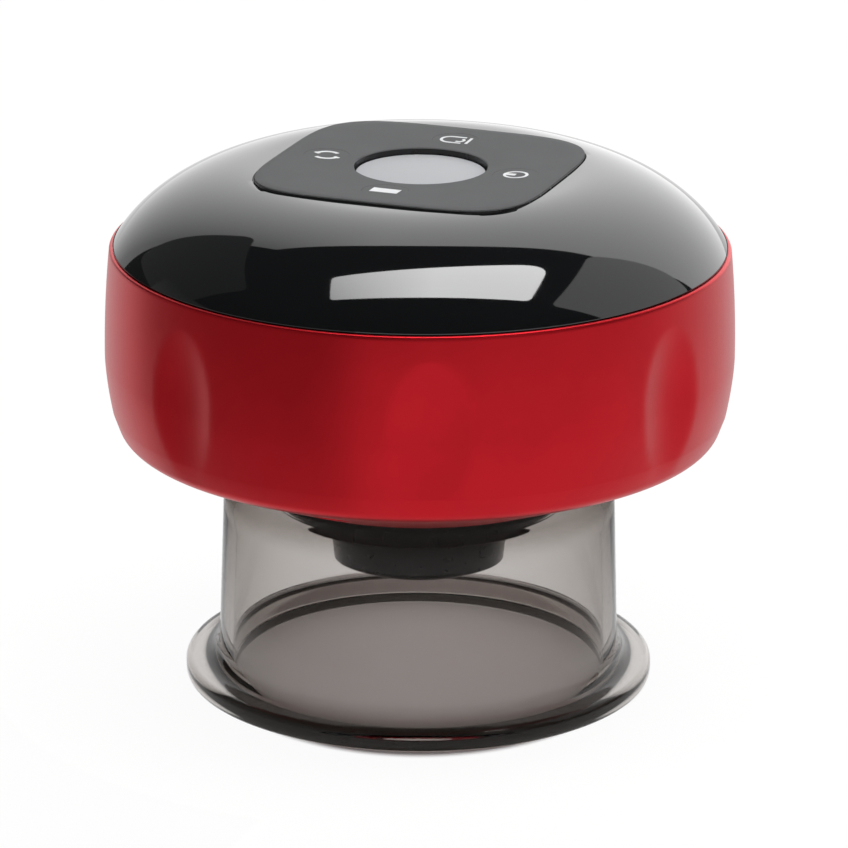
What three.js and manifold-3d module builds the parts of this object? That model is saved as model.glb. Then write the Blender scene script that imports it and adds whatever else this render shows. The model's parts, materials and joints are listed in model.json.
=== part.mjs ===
// Hand-held electric cupping massager: a smoked suction cup under a round head that holds
// the vacuum pump, the release valve, the battery, the display and four keys.
// Millimetres, +Z up. The origin is the centre of the cup's rim plane, and the keypad's
// front side looks along -Y, so the charging socket is at +Y.

import * as THREE from 'three';
import { mergeVertices } from 'three/addons/utils/BufferGeometryUtils.js';
import Module from 'manifold-3d';

const wasm = await Module();
wasm.setup();

// Clearances shared by every piece
const seatGap = 0.1;
const slipGap = 0.2;
const fitGap = 0.3;
const overrun = 1;
const weldDistance = 0.0005;

// Facet counts
const largeFacets = 48;
const mediumFacets = 30;
const smallFacets = 16;
const tinyFacets = 10;
const hoseFacets = 8;
const roundSteps = 3;
const edgeSteps = 2;

// Suction cup
const mouthRadius = 27.3;
const cupWall = 1.7;
const shoulderRadius = 26.6;
const shoulderRound = 3.2;
const ceilingHeight = 27;
const ceilingThickness = 2.4;
const cupShoulderRound = 2;
const cupHeight = 36;
const neckBore = 22.1;
const neckWall = 2;
const neckEdge = 0.4;
const flangeRadius = 33.9;
const flangeThickness = 3;
const flangeRound = 1;
const flangeFillet = 2.4;
const mouthRound = 0.8;

// Red lower shell
const undersideHeight = cupHeight + seatGap;
const shellWall = 2;
const shellFloor = 2.2;
const shellFacets = 84;
const bellyRise = 12.9;
const bellyPower = 1.6;
const seamDrop = 0.8;
const seamBevel = 0.3;
const creaseRise = 4.9;
const creaseInset = 1;
const bandHeight = 2.2;
const bandInset = 0.8;
const footRound = 2.6;
const footSlopeDegrees = 22;
const rimWidth = 1.8;
const sideSteps = 5;
const gripCount = 6;
const gripPitchDegrees = 48.9;
const gripTurnDegrees = -2.2;
const gripDepth = 1;
const gripPower = 1.5;
const gripHalfWidth = 6.4;
const gripHalfHeight = 11.2;
const gripRise = 14.2;

// Charging socket between the two rear grips
const socketRise = 13.8;
const socketWidth = 8.94;
const socketThickness = 3.26;
const socketLength = 7.3;
const socketSheet = 0.35;
const socketInset = 0.8;
const tongueWidth = 6.6;
const tongueThickness = 0.7;
const tongueLength = 4.6;
const socketRimWidth = 1.4;
const socketRimDepth = 0.5;
const chargeBoardWidth = 14;
const chargeBoardDepth = 11;
const boardThickness = 1.2;
const chargeBoardInset = 2.6;
const chipSide = 3;
const chipHeight = 1;

// Black dome cover
const domeStep = 0.5;
const domeCrownRadius = 23;
const domeRise = 11.35;
const domeReachShare = 0.919;
const domePower = 1.8;
const domeSteps = 7;
const domeWall = 3;
const domeSideWall = 2.2;
const skirtDepth = 2.8;
const skirtWall = 1.4;

// Keypad panel and its round display
const panelHalfWidth = 20.9;
const panelHalfDepth = 20.7;
const panelPower = 4.28;
const panelSteps = 40;
const recessDepth = 1;
const panelProud = 0.4;
const displayRadius = 9.5;
const displaySink = 1.15;
const windowThickness = 1.5;
const windowLedge = 1;
const lcdSide = 18.6;
const lcdThickness = 2.4;
const lcdLip = 0.6;

// Keys and their switches
const keyNames = ['level', 'mode', 'timer', 'heat'];
const keyAngles = { level: -90, mode: 180, timer: 0, heat: 90 };
const keyCircle = 14.3;
const keyRadius = 3.3;
const keyTravel = 0.4;
const stemRadius = 1.4;
const switchSide = 6;
const switchHeight = 1.6;
const switchFloor = 0.3;
const plungerRadius = 1.6;
const plungerProud = 0.5;
const plungerDepth = 0.8;

// Control board, and the room for its parts above the pump
const boardRoom = 3.25;
const controlBoardRadius = 25;
const boardScrewCircle = 21.5;
const leadPlugWidth = 5;
const leadPlugDepth = 3.4;
const leadPlugHeight = 3;
const chipLarge = 7;

// Screws and the bosses that take them
const screwAngles = [30, 150, 270];
const caseScrewInset = 10.2;
const caseBossRadius = 3.6;
const caseBossHeight = 21.8;
const caseScrewSeat = 13.8;
const domeBossRadius = 2.9;
const boardBossRadius = 2.2;
const caseScrew = { head: 2.2, headHeight: 1.8, shank: 1.2, length: 13 };
const boardScrew = { head: 1.9, headHeight: 1.3, shank: 0.9, length: 4 };
const collarScrew = { head: 2.2, headHeight: 1.5, shank: 1.2, length: 8 };
const slotWidth = 0.6;
const slotDepth = 0.7;

// Black connector that plugs into the cup's neck
const collarRadius = 21.8;
const collarDrop = 9.7;
const collarEdge = 0.5;
const spigotRadius = 18;
const spigotRise = 2.1;
const collarScrewCircle = 14;
const cablePassage = 4;
const suctionX = 16;
const suctionY = 3;
const suctionBore = 1.5;
const filterRadius = 2.6;
const filterThickness = 1.2;
const barbRadius = 1.5;
const barbBore = 0.8;
const barbLength = 5;
const barbRise = 7;
const ringSection = 1.1;
const ringRise = 4.6;
const ringSteps = 8;

// Heated nozzle
const nozzleRadius = 12.15;
const nozzleWall = 1.6;
const nozzleDrop = 8.7;
const nozzlePlug = 2.9;
const nozzleRound = 1.8;
const nozzleLip = 2;
const lensLip = 1.5;
const lensThickness = 1.5;
const lensRim = 0.9;
const heaterRise = 4.8;
const heaterLedSide = 2;
const heaterLedHeight = 0.9;
const heaterLedCircle = 5;
const heaterLeds = 4;

// Chassis that carries the pump, the valve and the battery
const chassisInset = 12.2;
const chassisThickness = 1.9;
const passageRadius = 3;
const padHeight = 1.7;
const pumpPadStart = 8;
const valvePadStart = 4.6;
const cradleWidth = 3;
const cradleFirst = 4;
const cradleSecond = 15;
const standRoom = 3.9;

// Vacuum pump
const pumpY = -18;
const pumpSide = 24;
const motorRadius = 10.5;
const motorLength = 22;
const motorFrontX = -2;
const motorEdge = 1;
const shaftRadius = 1;
const shaftReach = 7;
const shaftDepth = 10;
const crankcaseLength = 12;
const crankBore = 8.5;
const crankBoreDepth = 9;
const crankRadius = 5.4;
const crankThickness = 3;
const crankStandoff = 3;
const crankPinRadius = 1.2;
const crankPinOffset = 3;
const crankPinLength = 2;
const diaphragmThickness = 1.6;
const pumpCapLength = 7;
const pumpEdge = 2;
const nippleOffset = 5;

// Air release valve
const valveX = -8;
const valveSheet = 1;
const valveSide = 12;
const coilRadius = 5.4;
const coilLength = 7;
const coilBore = 2.5;
const valvePlungerRadius = 2.2;
const springLength = 4;
const springRadius = 1.9;
const springBore = 1.2;
const valveSeatRadius = 4.4;
const seatChamber = 3;

// Hoses and leads
const hoseRadius = 2.6;
const teeBody = 2.4;
const leadRadius = 1;
const hoseSteps = 14;

// Battery
const batteryWidth = 42;
const batteryDepth = 11;
const batteryHeight = 22;
const batteryY = 20;
const batteryRound = 2.5;
const batteryRib = 1.3;
const batteryRibHeight = 6;
const batteryLeadX = -8;
const motorLeadX = -19;
const motorLeadY = -4;
const heaterLeadY = -1.5;

// Radii worked out from the sizes above: the shell goes round the battery and the charging board
const standStart = batteryY + batteryDepth / 2 + seatGap + batteryRib + standRoom;
const bellyRadius = standStart + chargeBoardDepth + chargeBoardInset + socketInset;
const seamRadius = bellyRadius - seamDrop;
const recessRadius = neckBore + neckWall + fitGap;
const hubRadius = recessRadius + shellWall;
const domeRimRadius = seamRadius - domeStep;
const caseScrewCircle = bellyRadius - caseScrewInset;
const chassisRadius = bellyRadius - chassisInset;

// Foot of the shell: a band leans in below a crease and rounds into the sloped underside
const creaseHeight = undersideHeight + creaseRise;
const footSlope = THREE.MathUtils.degToRad(footSlopeDegrees);
const bandLean = Math.atan2(bandInset, bandHeight);
const footCentreRadius = bellyRadius - creaseInset - bandInset - footRound * Math.cos(bandLean);
const footCentreHeight = creaseHeight - bandHeight + footRound * Math.sin(bandLean);
const rimHeight = slopeHeight(recessRadius + rimWidth, 0);

// Heights worked out from the sizes above: the shell and the dome close over the pump and the board
const floorTop = undersideHeight + shellFloor;
const chassisBottom = floorTop + seatGap;
const chassisTop = chassisBottom + chassisThickness;
const padTop = chassisTop + padHeight;
const pumpZ = padTop + seatGap + pumpSide / 2;
const boardBottom = pumpZ + pumpSide / 2 + boardRoom;
const boardTop = boardBottom + boardThickness;
const crownInner = boardTop + seatGap + lcdThickness + seatGap;
const crownHeight = crownInner + domeWall;
const seamHeight = crownHeight - domeRise - seatGap;
const shellHeight = seamHeight - undersideHeight;
const recessHeight = crownHeight - recessDepth;
const panelBottom = recessHeight + seatGap;
const panelTop = crownHeight + panelProud;
const windowTop = panelTop - displaySink;
const windowBottom = windowTop - windowThickness;
const collarBottom = undersideHeight - collarDrop;
const collarShoulder = undersideHeight - seatGap;
const spigotTop = undersideHeight + spigotRise;
const nozzleBottom = collarBottom - nozzleDrop;
const nozzleTop = collarBottom + nozzlePlug;
const nozzleInner = nozzleRadius - nozzleWall;
const lensRadius = nozzleInner - lensRim;
const socketHeight = undersideHeight + socketRise;
const valveY = suctionY;
const valveBottom = padTop + seatGap;
const coilBottom = valveBottom + valveSheet + seatGap;
const coilTop = coilBottom + coilLength;
const valveFrameTop = coilTop + seatGap + valveSheet;
const batteryBottom = chassisTop + seatGap;

// Finishes
const finishes = {
  redLacquer: { color: 0x9c252d, roughness: 0.38, metalness: 0.45 },
  pianoBlack: { color: 0x0a0b0c, roughness: 0.06, metalness: 0 },
  panelGrey: { color: 0x68696b, roughness: 0.6, metalness: 0 },
  displayGrey: { color: 0xb5b8bb, roughness: 0.35, metalness: 0 },
  smokedPlastic: { color: 0x55504e, roughness: 0.05, metalness: 0, transparent: true, opacity: 0.45 },
  blackPlastic: { color: 0x141415, roughness: 0.35, metalness: 0 },
  whitePlastic: { color: 0xd8d8d2, roughness: 0.5, metalness: 0 },
  rubber: { color: 0x2a2a2b, roughness: 0.8, metalness: 0 },
  silicone: { color: 0xd9d6cc, roughness: 0.5, metalness: 0 },
  redLens: { color: 0xb01818, roughness: 0.1, metalness: 0, transparent: true, opacity: 0.6 },
  circuitBoard: { color: 0x1d5a34, roughness: 0.5, metalness: 0 },
  steel: { color: 0xb4b6b8, roughness: 0.3, metalness: 0.9 },
  copper: { color: 0xa8592a, roughness: 0.4, metalness: 0.7 },
  foam: { color: 0x4a4a48, roughness: 0.95, metalness: 0 },
  batteryWrap: { color: 0x2b5f9e, roughness: 0.4, metalness: 0 },
  leadJacket: { color: 0xa01c1c, roughness: 0.55, metalness: 0 },
};

// Turning surfaces into solids

function solid(geometry) {
  const bare = new THREE.BufferGeometry();
  bare.setAttribute('position', geometry.attributes.position);
  bare.setIndex(geometry.index);
  const merged = mergeVertices(bare, weldDistance);
  const corners = [];
  for (let i = 0; i < merged.index.count; i += 3) {
    const [a, b, c] = [merged.index.getX(i), merged.index.getX(i + 1), merged.index.getX(i + 2)];
    if (a !== b && b !== c && c !== a) corners.push(a, b, c);
  }
  const wrap = (order) => new wasm.Manifold(new wasm.Mesh({
    numProp: 3,
    vertProperties: merged.attributes.position.array,
    triVerts: new Uint32Array(order),
  }));
  const made = wrap(corners);
  return made.volume() < 0 ? wrap(corners.reverse()) : made;
}

function joined(pieces) {
  return pieces.reduce((whole, piece) => whole.add(piece));
}

function turned(profile, facets, reshape) {
  const points = profile.map(([radius, height]) => new THREE.Vector2(radius, height));
  const geometry = new THREE.LatheGeometry(points, facets);
  geometry.rotateX(Math.PI / 2);
  if (reshape) reshape(geometry.attributes.position);
  return solid(geometry);
}

function turnedRing(profile, facets) {
  return turned([...profile, profile[0]], facets);
}

function post(radius, bottom, top, facets, x = 0, y = 0) {
  const geometry = new THREE.CylinderGeometry(radius, radius, top - bottom, facets);
  geometry.rotateX(Math.PI / 2);
  geometry.translate(x, y, (bottom + top) / 2);
  return solid(geometry);
}

function bar(radius, start, end, y, z, facets) {
  const geometry = new THREE.CylinderGeometry(radius, radius, end - start, facets);
  geometry.rotateZ(Math.PI / 2);
  geometry.translate((start + end) / 2, y, z);
  return solid(geometry);
}

function block(low, high) {
  const size = high.map((value, i) => value - low[i]);
  const geometry = new THREE.BoxGeometry(...size);
  geometry.translate(...high.map((value, i) => (value + low[i]) / 2));
  return solid(geometry);
}

function centredBlock(width, depth, bottom, top, x = 0, y = 0) {
  const low = [x - width / 2, y - depth / 2, bottom];
  const high = [x + width / 2, y + depth / 2, top];
  return block(low, high);
}

function plate(outline, bottom, top) {
  const geometry = new THREE.ExtrudeGeometry(new THREE.Shape(outline), {
    depth: top - bottom,
    bevelEnabled: false,
  });
  geometry.translate(0, 0, bottom);
  return solid(geometry);
}

function roundedBlock(width, depth, bottom, top, round, x, y) {
  const outline = [];
  for (const [sideX, sideY, start] of [[1, 1, 0], [-1, 1, 1], [-1, -1, 2], [1, -1, 3]]) {
    for (let i = 0; i <= roundSteps; i += 1) {
      const angle = (start + i / roundSteps) * Math.PI / 2;
      const cornerX = x + sideX * (width / 2 - round);
      const cornerY = y + sideY * (depth / 2 - round);
      outline.push(new THREE.Vector2(cornerX + round * Math.cos(angle), cornerY + round * Math.sin(angle)));
    }
  }
  return plate(outline, bottom, top);
}

function hose(points, radius, bore, steps) {
  const circle = (size) => {
    const turns = [...Array(hoseFacets).keys()].map((i) => (2 * Math.PI * i) / hoseFacets);
    return turns.map((turn) => new THREE.Vector2(size * Math.cos(turn), size * Math.sin(turn)));
  };
  const section = new THREE.Shape(circle(radius));
  if (bore) section.holes.push(new THREE.Path(circle(bore)));
  const extrudePath = new THREE.CatmullRomCurve3(points.map((point) => new THREE.Vector3(...point)));
  return solid(new THREE.ExtrudeGeometry(section, { steps, bevelEnabled: false, extrudePath }));
}

function arc(centreRadius, centreHeight, round, startTurn, endTurn, steps = roundSteps) {
  return [...Array(steps + 1).keys()].map((i) => {
    const angle = (startTurn + ((endTurn - startTurn) * i) / steps) * 2 * Math.PI;
    return [centreRadius + round * Math.cos(angle), centreHeight + round * Math.sin(angle)];
  });
}

function onCircle(circle, degrees) {
  const angle = THREE.MathUtils.degToRad(degrees);
  return [circle * Math.cos(angle), circle * Math.sin(angle)];
}

const massager = new THREE.Group();

function addPiece(name, shape, finish) {
  const made = shape.getMesh();
  const geometry = new THREE.BufferGeometry();
  geometry.setAttribute('position', new THREE.BufferAttribute(made.vertProperties, made.numProp));
  geometry.setIndex(new THREE.BufferAttribute(made.triVerts, 1));
  geometry.computeVertexNormals();
  const piece = new THREE.Mesh(geometry, new THREE.MeshStandardMaterial(finishes[finish]));
  piece.name = name;
  massager.add(piece);
}

// Suction cup: one turned wall with a flange at the mouth and a neck at the top

function suctionCup() {
  const outerMouth = mouthRadius + cupWall;
  const outerShoulder = shoulderRadius + cupWall;
  const outerTop = ceilingHeight + ceilingThickness;
  const outerRound = cupShoulderRound;
  const neckRadius = neckBore + neckWall;
  const fillet = flangeFillet;
  const profile = [
    ...arc(mouthRadius + mouthRound, mouthRound, mouthRound, 0.5, 0.75, edgeSteps),
    ...arc(flangeRadius - flangeRound, flangeRound, flangeRound, -0.25, 0, edgeSteps),
    ...arc(flangeRadius - flangeRound, flangeThickness - flangeRound, flangeRound, 0, 0.25, edgeSteps),
    ...arc(outerMouth + fillet, flangeThickness + fillet, fillet, 0.75, 0.5),
    ...arc(outerShoulder - outerRound, outerTop - outerRound, outerRound, 0, 0.25),
    [neckRadius, outerTop],
    [neckRadius, cupHeight - neckEdge],
    [neckRadius - neckEdge, cupHeight],
    [neckBore + neckEdge, cupHeight],
    [neckBore, cupHeight - neckEdge],
    [neckBore, ceilingHeight],
    ...arc(shoulderRadius - shoulderRound, ceilingHeight - shoulderRound, shoulderRound, 0.25, 0),
  ];
  addPiece('suction_cup', turnedRing(profile, largeFacets), 'smokedPlastic');
}

// Red lower shell: a bulged side over a shallow bowl, with a recess for the cup's neck in its middle

function bulge(height) {
  const rise = height - undersideHeight - bellyRise;
  if (rise > 0) return bellyRadius - seamDrop * (rise / (shellHeight - bellyRise)) ** 2;
  return bellyRadius - creaseInset * (-rise / (bellyRise - creaseRise)) ** bellyPower;
}

function slopeHeight(radius, inset) {
  const round = footRound - inset;
  const startRadius = footCentreRadius + round * Math.sin(footSlope);
  const startHeight = footCentreHeight - round * Math.cos(footSlope);
  return startHeight - (startRadius - radius) * Math.tan(footSlope);
}

function sideProfile(inset, top) {
  const fullTurn = 2 * Math.PI;
  const flatTurn = (footSlope - Math.PI / 2) / fullTurn;
  const foot = arc(footCentreRadius, footCentreHeight, footRound - inset, flatTurn, -bandLean / fullTurn);
  const side = [...Array(2 * sideSteps + 1).keys()].map((i) => {
    const height = creaseHeight + ((top - creaseHeight) * i) / (2 * sideSteps);
    return [bulge(Math.min(height, seamHeight)) - inset, height];
  });
  return [...foot, ...side];
}

function pressGrips(position) {
  const gripHeight = undersideHeight + gripRise;
  const middle = (gripCount - 1) / 2;
  for (let i = 0; i < position.count; i += 1) {
    const [x, y, z] = [position.getX(i), position.getY(i), position.getZ(i)];
    const radius = Math.hypot(x, y);
    if (radius < hubRadius) continue;
    const degrees = THREE.MathUtils.radToDeg(Math.atan2(x, -y)) - gripTurnDegrees;
    const nearest = Math.round(degrees / gripPitchDegrees + middle);
    const place = THREE.MathUtils.clamp(nearest, 0, gripCount - 1) - middle;
    const turn = THREE.MathUtils.degToRad(degrees - place * gripPitchDegrees);
    const across = (turn * radius) / gripHalfWidth;
    const along = (z - gripHeight) / gripHalfHeight;
    const inside = Math.max(0, 1 - across ** 2 - along ** 2);
    const share = (radius - gripDepth * inside ** gripPower) / radius;
    position.setXY(i, x * share, y * share);
  }
}

function lowerShell() {
  const envelope = turned([
    [0, undersideHeight],
    [recessRadius, undersideHeight],
    [recessRadius, rimHeight],
    [recessRadius + rimWidth, rimHeight],
    ...sideProfile(0, seamHeight - seamBevel),
    [seamRadius - seamBevel, seamHeight],
    [0, seamHeight],
  ], shellFacets, pressGrips);
  const cavity = turned([
    [0, floorTop],
    [hubRadius, floorTop],
    [hubRadius, slopeHeight(hubRadius, shellWall)],
    ...sideProfile(shellWall, seamHeight + overrun),
    [0, seamHeight + overrun],
  ], mediumFacets);
  let shell = envelope.subtract(cavity);
  const spigotHole = spigotRadius + fitGap;
  shell = shell.subtract(post(spigotHole, undersideHeight - overrun, floorTop + overrun, mediumFacets));
  const seat = undersideHeight + caseScrewSeat;
  const bossTop = undersideHeight + caseBossHeight;
  for (const angle of screwAngles) {
    const [x, y] = onCircle(caseScrewCircle, angle);
    const boss = post(caseBossRadius, rimHeight, bossTop, smallFacets, x, y);
    shell = shell.add(boss.intersect(envelope));
    const well = caseScrew.head + fitGap;
    shell = shell.subtract(post(well, rimHeight - overrun, seat, smallFacets, x, y));
    const hole = caseScrew.shank + slipGap;
    shell = shell.subtract(post(hole, seat - overrun, bossTop + overrun, tinyFacets, x, y));
  }
  return shell.subtract(socketOpening());
}

// Charging socket: a slot with round ends, seen along -Y

function slotBar(width, thickness, start, end) {
  const outline = [];
  const reach = (width - thickness) / 2;
  for (const side of [1, -1]) {
    for (let i = 0; i <= roundSteps * 2; i += 1) {
      const angle = (i / (roundSteps * 2) - 1 / 2) * Math.PI;
      const x = side * (reach + (thickness / 2) * Math.cos(angle));
      outline.push(new THREE.Vector2(x, side * (thickness / 2) * Math.sin(angle)));
    }
  }
  const geometry = new THREE.ExtrudeGeometry(new THREE.Shape(outline), {
    depth: end - start,
    bevelEnabled: false,
  });
  geometry.rotateX(Math.PI / 2);
  geometry.translate(0, end, socketHeight);
  return solid(geometry);
}

function socketOpening() {
  const outerFace = bulge(socketHeight);
  const slot = slotBar(
    socketWidth + 2 * fitGap,
    socketThickness + 2 * fitGap,
    outerFace - shellWall - overrun,
    outerFace + overrun,
  );
  const rim = slotBar(
    socketWidth + 2 * socketRimWidth,
    socketThickness + 2 * socketRimWidth,
    outerFace - socketRimDepth,
    outerFace + overrun,
  );
  return slot.add(rim);
}

function chargingSocket() {
  const mouth = bulge(socketHeight) - socketInset;
  const back = mouth - socketLength;
  const outer = slotBar(socketWidth, socketThickness, back, mouth);
  const inner = slotBar(
    socketWidth - 2 * socketSheet,
    socketThickness - 2 * socketSheet,
    back + socketSheet,
    mouth + overrun,
  );
  const tongue = block(
    [-tongueWidth / 2, back, socketHeight - tongueThickness / 2],
    [tongueWidth / 2, back + tongueLength, socketHeight + tongueThickness / 2],
  );
  addPiece('usb_socket', outer.subtract(inner).add(tongue), 'steel');

  const top = socketHeight - socketThickness / 2 - seatGap;
  const boardY = mouth - chargeBoardInset - chargeBoardDepth / 2;
  const board = centredBlock(chargeBoardWidth, chargeBoardDepth, top - boardThickness, top, 0, boardY);
  const chipY = boardY - chargeBoardDepth / 2 + chipSide / 2;
  const chip = centredBlock(chipSide, chipSide, top - seatGap, top + chipHeight, 0, chipY);
  addPiece('charge_board', board.add(chip), 'circuitBoard');
}

// Black dome cover with the recess for the keypad panel

function domeCurve(crownRadius, rimRadius, topHeight, rimHeight) {
  const span = rimRadius - crownRadius;
  const fall = (share) => (1 - (share * domeReachShare) ** domePower) ** (1 / domePower);
  const rise = (topHeight - rimHeight) / (1 - fall(1));
  return [...Array(domeSteps + 1).keys()].map((i) => {
    const share = Math.sin((1 - i / domeSteps) * Math.PI / 2);
    return [crownRadius + span * share, topHeight - rise * (1 - fall(share))];
  });
}

function superellipse(halfWidth, halfDepth, steps) {
  return [...Array(steps).keys()].map((i) => {
    const angle = (2 * Math.PI * i) / steps;
    const [c, s] = [Math.cos(angle), Math.sin(angle)];
    const reach = (Math.abs(c) ** panelPower + Math.abs(s) ** panelPower) ** (-1 / panelPower);
    return new THREE.Vector2(halfWidth * c * reach, halfDepth * s * reach);
  });
}

function domeEnvelope() {
  const rim = seamHeight + seatGap;
  return turned(
    [[0, rim], ...domeCurve(domeCrownRadius, domeRimRadius, crownHeight, rim), [0, crownHeight]],
    largeFacets,
  );
}

function domeCover() {
  const rim = seamHeight + seatGap;
  const skirtRadius = seamRadius - shellWall - slipGap;
  const skirtBottom = seamHeight - skirtDepth;
  const envelope = domeEnvelope();
  const cavityRim = skirtRadius - skirtWall;
  const cavity = turned(
    [
      [0, skirtBottom - overrun],
      [cavityRim, skirtBottom - overrun],
      ...domeCurve(domeCrownRadius - domeSideWall, cavityRim, crownInner, rim),
      [0, crownInner],
    ],
    mediumFacets,
  );
  const skirt = post(skirtRadius, skirtBottom, rim + seatGap, mediumFacets);
  let dome = envelope.add(skirt).subtract(cavity);
  for (const angle of screwAngles) {
    const [x, y] = onCircle(caseScrewCircle, angle);
    const bossBottom = undersideHeight + caseBossHeight + seatGap;
    const boss = post(domeBossRadius, bossBottom, crownHeight, smallFacets, x, y);
    const inside = envelope.add(post(skirtRadius, bossBottom - overrun, rim, mediumFacets));
    dome = dome.add(boss.intersect(inside));
    const pilotTop = undersideHeight + caseScrewSeat + caseScrew.length + fitGap;
    dome = dome.subtract(post(caseScrew.shank + seatGap, bossBottom - overrun, pilotTop, tinyFacets, x, y));

    const [boardX, boardY] = onCircle(boardScrewCircle, angle);
    const bossStart = boardTop + seatGap;
    dome = dome.add(post(boardBossRadius, bossStart, crownInner + seatGap, tinyFacets, boardX, boardY));
    const screwEnd = boardBottom - seatGap + boardScrew.length + fitGap;
    const pilot = boardScrew.shank + seatGap;
    dome = dome.subtract(post(pilot, bossStart - overrun, screwEnd, tinyFacets, boardX, boardY));
  }
  const recess = superellipse(panelHalfWidth + fitGap, panelHalfDepth + fitGap, panelSteps);
  dome = dome.subtract(plate(recess, recessHeight, crownHeight + overrun));
  const ledge = windowBottom - seatGap;
  dome = dome.subtract(post(displayRadius, ledge, crownHeight, mediumFacets));
  dome = dome.subtract(post(displayRadius - windowLedge, crownInner - overrun, crownHeight, mediumFacets));
  for (const name of keyNames) {
    const [x, y] = onCircle(keyCircle, keyAngles[name]);
    dome = dome.subtract(post(stemRadius + slipGap, crownInner - overrun, crownHeight, tinyFacets, x, y));
  }
  return dome;
}

// Keypad panel, display and keys

function controlPanel() {
  const outline = superellipse(panelHalfWidth, panelHalfDepth, panelSteps);
  let panel = plate(outline, panelBottom, panelTop);
  panel = panel.subtract(post(displayRadius, panelBottom - overrun, panelTop + overrun, mediumFacets));
  for (const name of keyNames) {
    const [x, y] = onCircle(keyCircle, keyAngles[name]);
    const hole = keyRadius + slipGap;
    panel = panel.subtract(post(hole, panelBottom - overrun, panelTop + overrun, smallFacets, x, y));
  }
  addPiece('control_panel', panel, 'panelGrey');
}

function display() {
  const radius = displayRadius - slipGap;
  addPiece('display_window', post(radius, windowBottom, windowTop, mediumFacets), 'displayGrey');
  const lcdBottom = boardTop + seatGap;
  const lcdTop = lcdBottom + lcdThickness;
  const inner = lcdSide - 2 * lcdLip;
  const lcd = centredBlock(lcdSide, lcdSide, lcdBottom, lcdTop - lcdLip);
  addPiece('lcd_module', lcd.add(centredBlock(inner, inner, lcdBottom, lcdTop)), 'displayGrey');
}

function keys() {
  const capBottom = recessHeight + keyTravel + seatGap;
  const stemBottom = boardTop + seatGap + switchHeight + plungerProud + seatGap;
  const bodyBottom = boardTop + seatGap;
  const bodyTop = bodyBottom + switchHeight;
  for (const name of keyNames) {
    const [x, y] = onCircle(keyCircle, keyAngles[name]);
    const cap = post(keyRadius, capBottom, panelTop, smallFacets, x, y);
    const stem = post(stemRadius, stemBottom, capBottom + seatGap, tinyFacets, x, y);
    addPiece(`key_${name}`, cap.add(stem), 'panelGrey');

    const plungerTop = bodyTop + plungerProud;
    const plunger = post(plungerRadius, bodyTop - plungerDepth, plungerTop, tinyFacets, x, y);
    addPiece(`switch_plunger_${name}`, plunger, 'blackPlastic');
    const body = centredBlock(switchSide, switchSide, bodyBottom, bodyTop, x, y);
    const bore = post(plungerRadius + slipGap, bodyBottom + switchFloor, bodyTop + overrun, tinyFacets, x, y);
    addPiece(`switch_body_${name}`, body.subtract(bore), 'steel');
  }
}

function leadPlug(x, y) {
  return centredBlock(leadPlugWidth, leadPlugDepth, boardBottom - leadPlugHeight, boardBottom, x, y);
}

function controlBoard() {
  let board = post(controlBoardRadius, boardBottom, boardTop, mediumFacets);
  for (const [x, y] of [[batteryLeadX, batteryY], [motorLeadX, motorLeadY], [0, heaterLeadY]]) {
    board = board.add(leadPlug(x, y));
  }
  const chipY = -boardScrewCircle / 2;
  const chipBottom = boardBottom - chipHeight;
  board = board.add(centredBlock(chipLarge, chipLarge, chipBottom, boardBottom, chipLarge, chipY));
  for (const angle of screwAngles) {
    const [x, y] = onCircle(boardScrewCircle, angle);
    const hole = boardScrew.shank + slipGap;
    board = board.subtract(post(hole, boardBottom - overrun, boardTop + overrun, tinyFacets, x, y));
  }
  addPiece('control_board', board, 'circuitBoard');
}

// Screws: a round head with a cross slot, turned with the head up

function screw(name, kind, x, y, headSeat, headUp) {
  const direction = headUp ? 1 : -1;
  const headEnd = headSeat + direction * kind.headHeight;
  const tip = headSeat - direction * kind.length;
  const head = post(kind.head, Math.min(headSeat, headEnd), Math.max(headSeat, headEnd), tinyFacets, x, y);
  const root = headSeat + direction * seatGap;
  const shank = post(kind.shank, Math.min(tip, root), Math.max(tip, root), hoseFacets, x, y);
  let made = head.add(shank);
  const slotFloor = headEnd - direction * slotDepth;
  const slotRim = headEnd + direction * overrun;
  const bottom = Math.min(slotFloor, slotRim);
  const top = Math.max(slotFloor, slotRim);
  made = made.subtract(centredBlock(kind.head, slotWidth, bottom, top, x, y));
  made = made.subtract(centredBlock(slotWidth, kind.head, bottom, top, x, y));
  addPiece(name, made, 'steel');
}

function screws() {
  screwAngles.forEach((angle, i) => {
    const [caseX, caseY] = onCircle(caseScrewCircle, angle);
    screw(`case_screw_${i + 1}`, caseScrew, caseX, caseY, undersideHeight + caseScrewSeat - seatGap, false);
    const [boardX, boardY] = onCircle(boardScrewCircle, angle);
    screw(`board_screw_${i + 1}`, boardScrew, boardX, boardY, boardBottom - seatGap, false);
    const [collarX, collarY] = onCircle(collarScrewCircle, angle);
    screw(`collar_screw_${i + 1}`, collarScrew, collarX, collarY, chassisTop + seatGap, true);
  });
}

// Connector under the head: it plugs into the cup's neck and holds the heated nozzle

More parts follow.
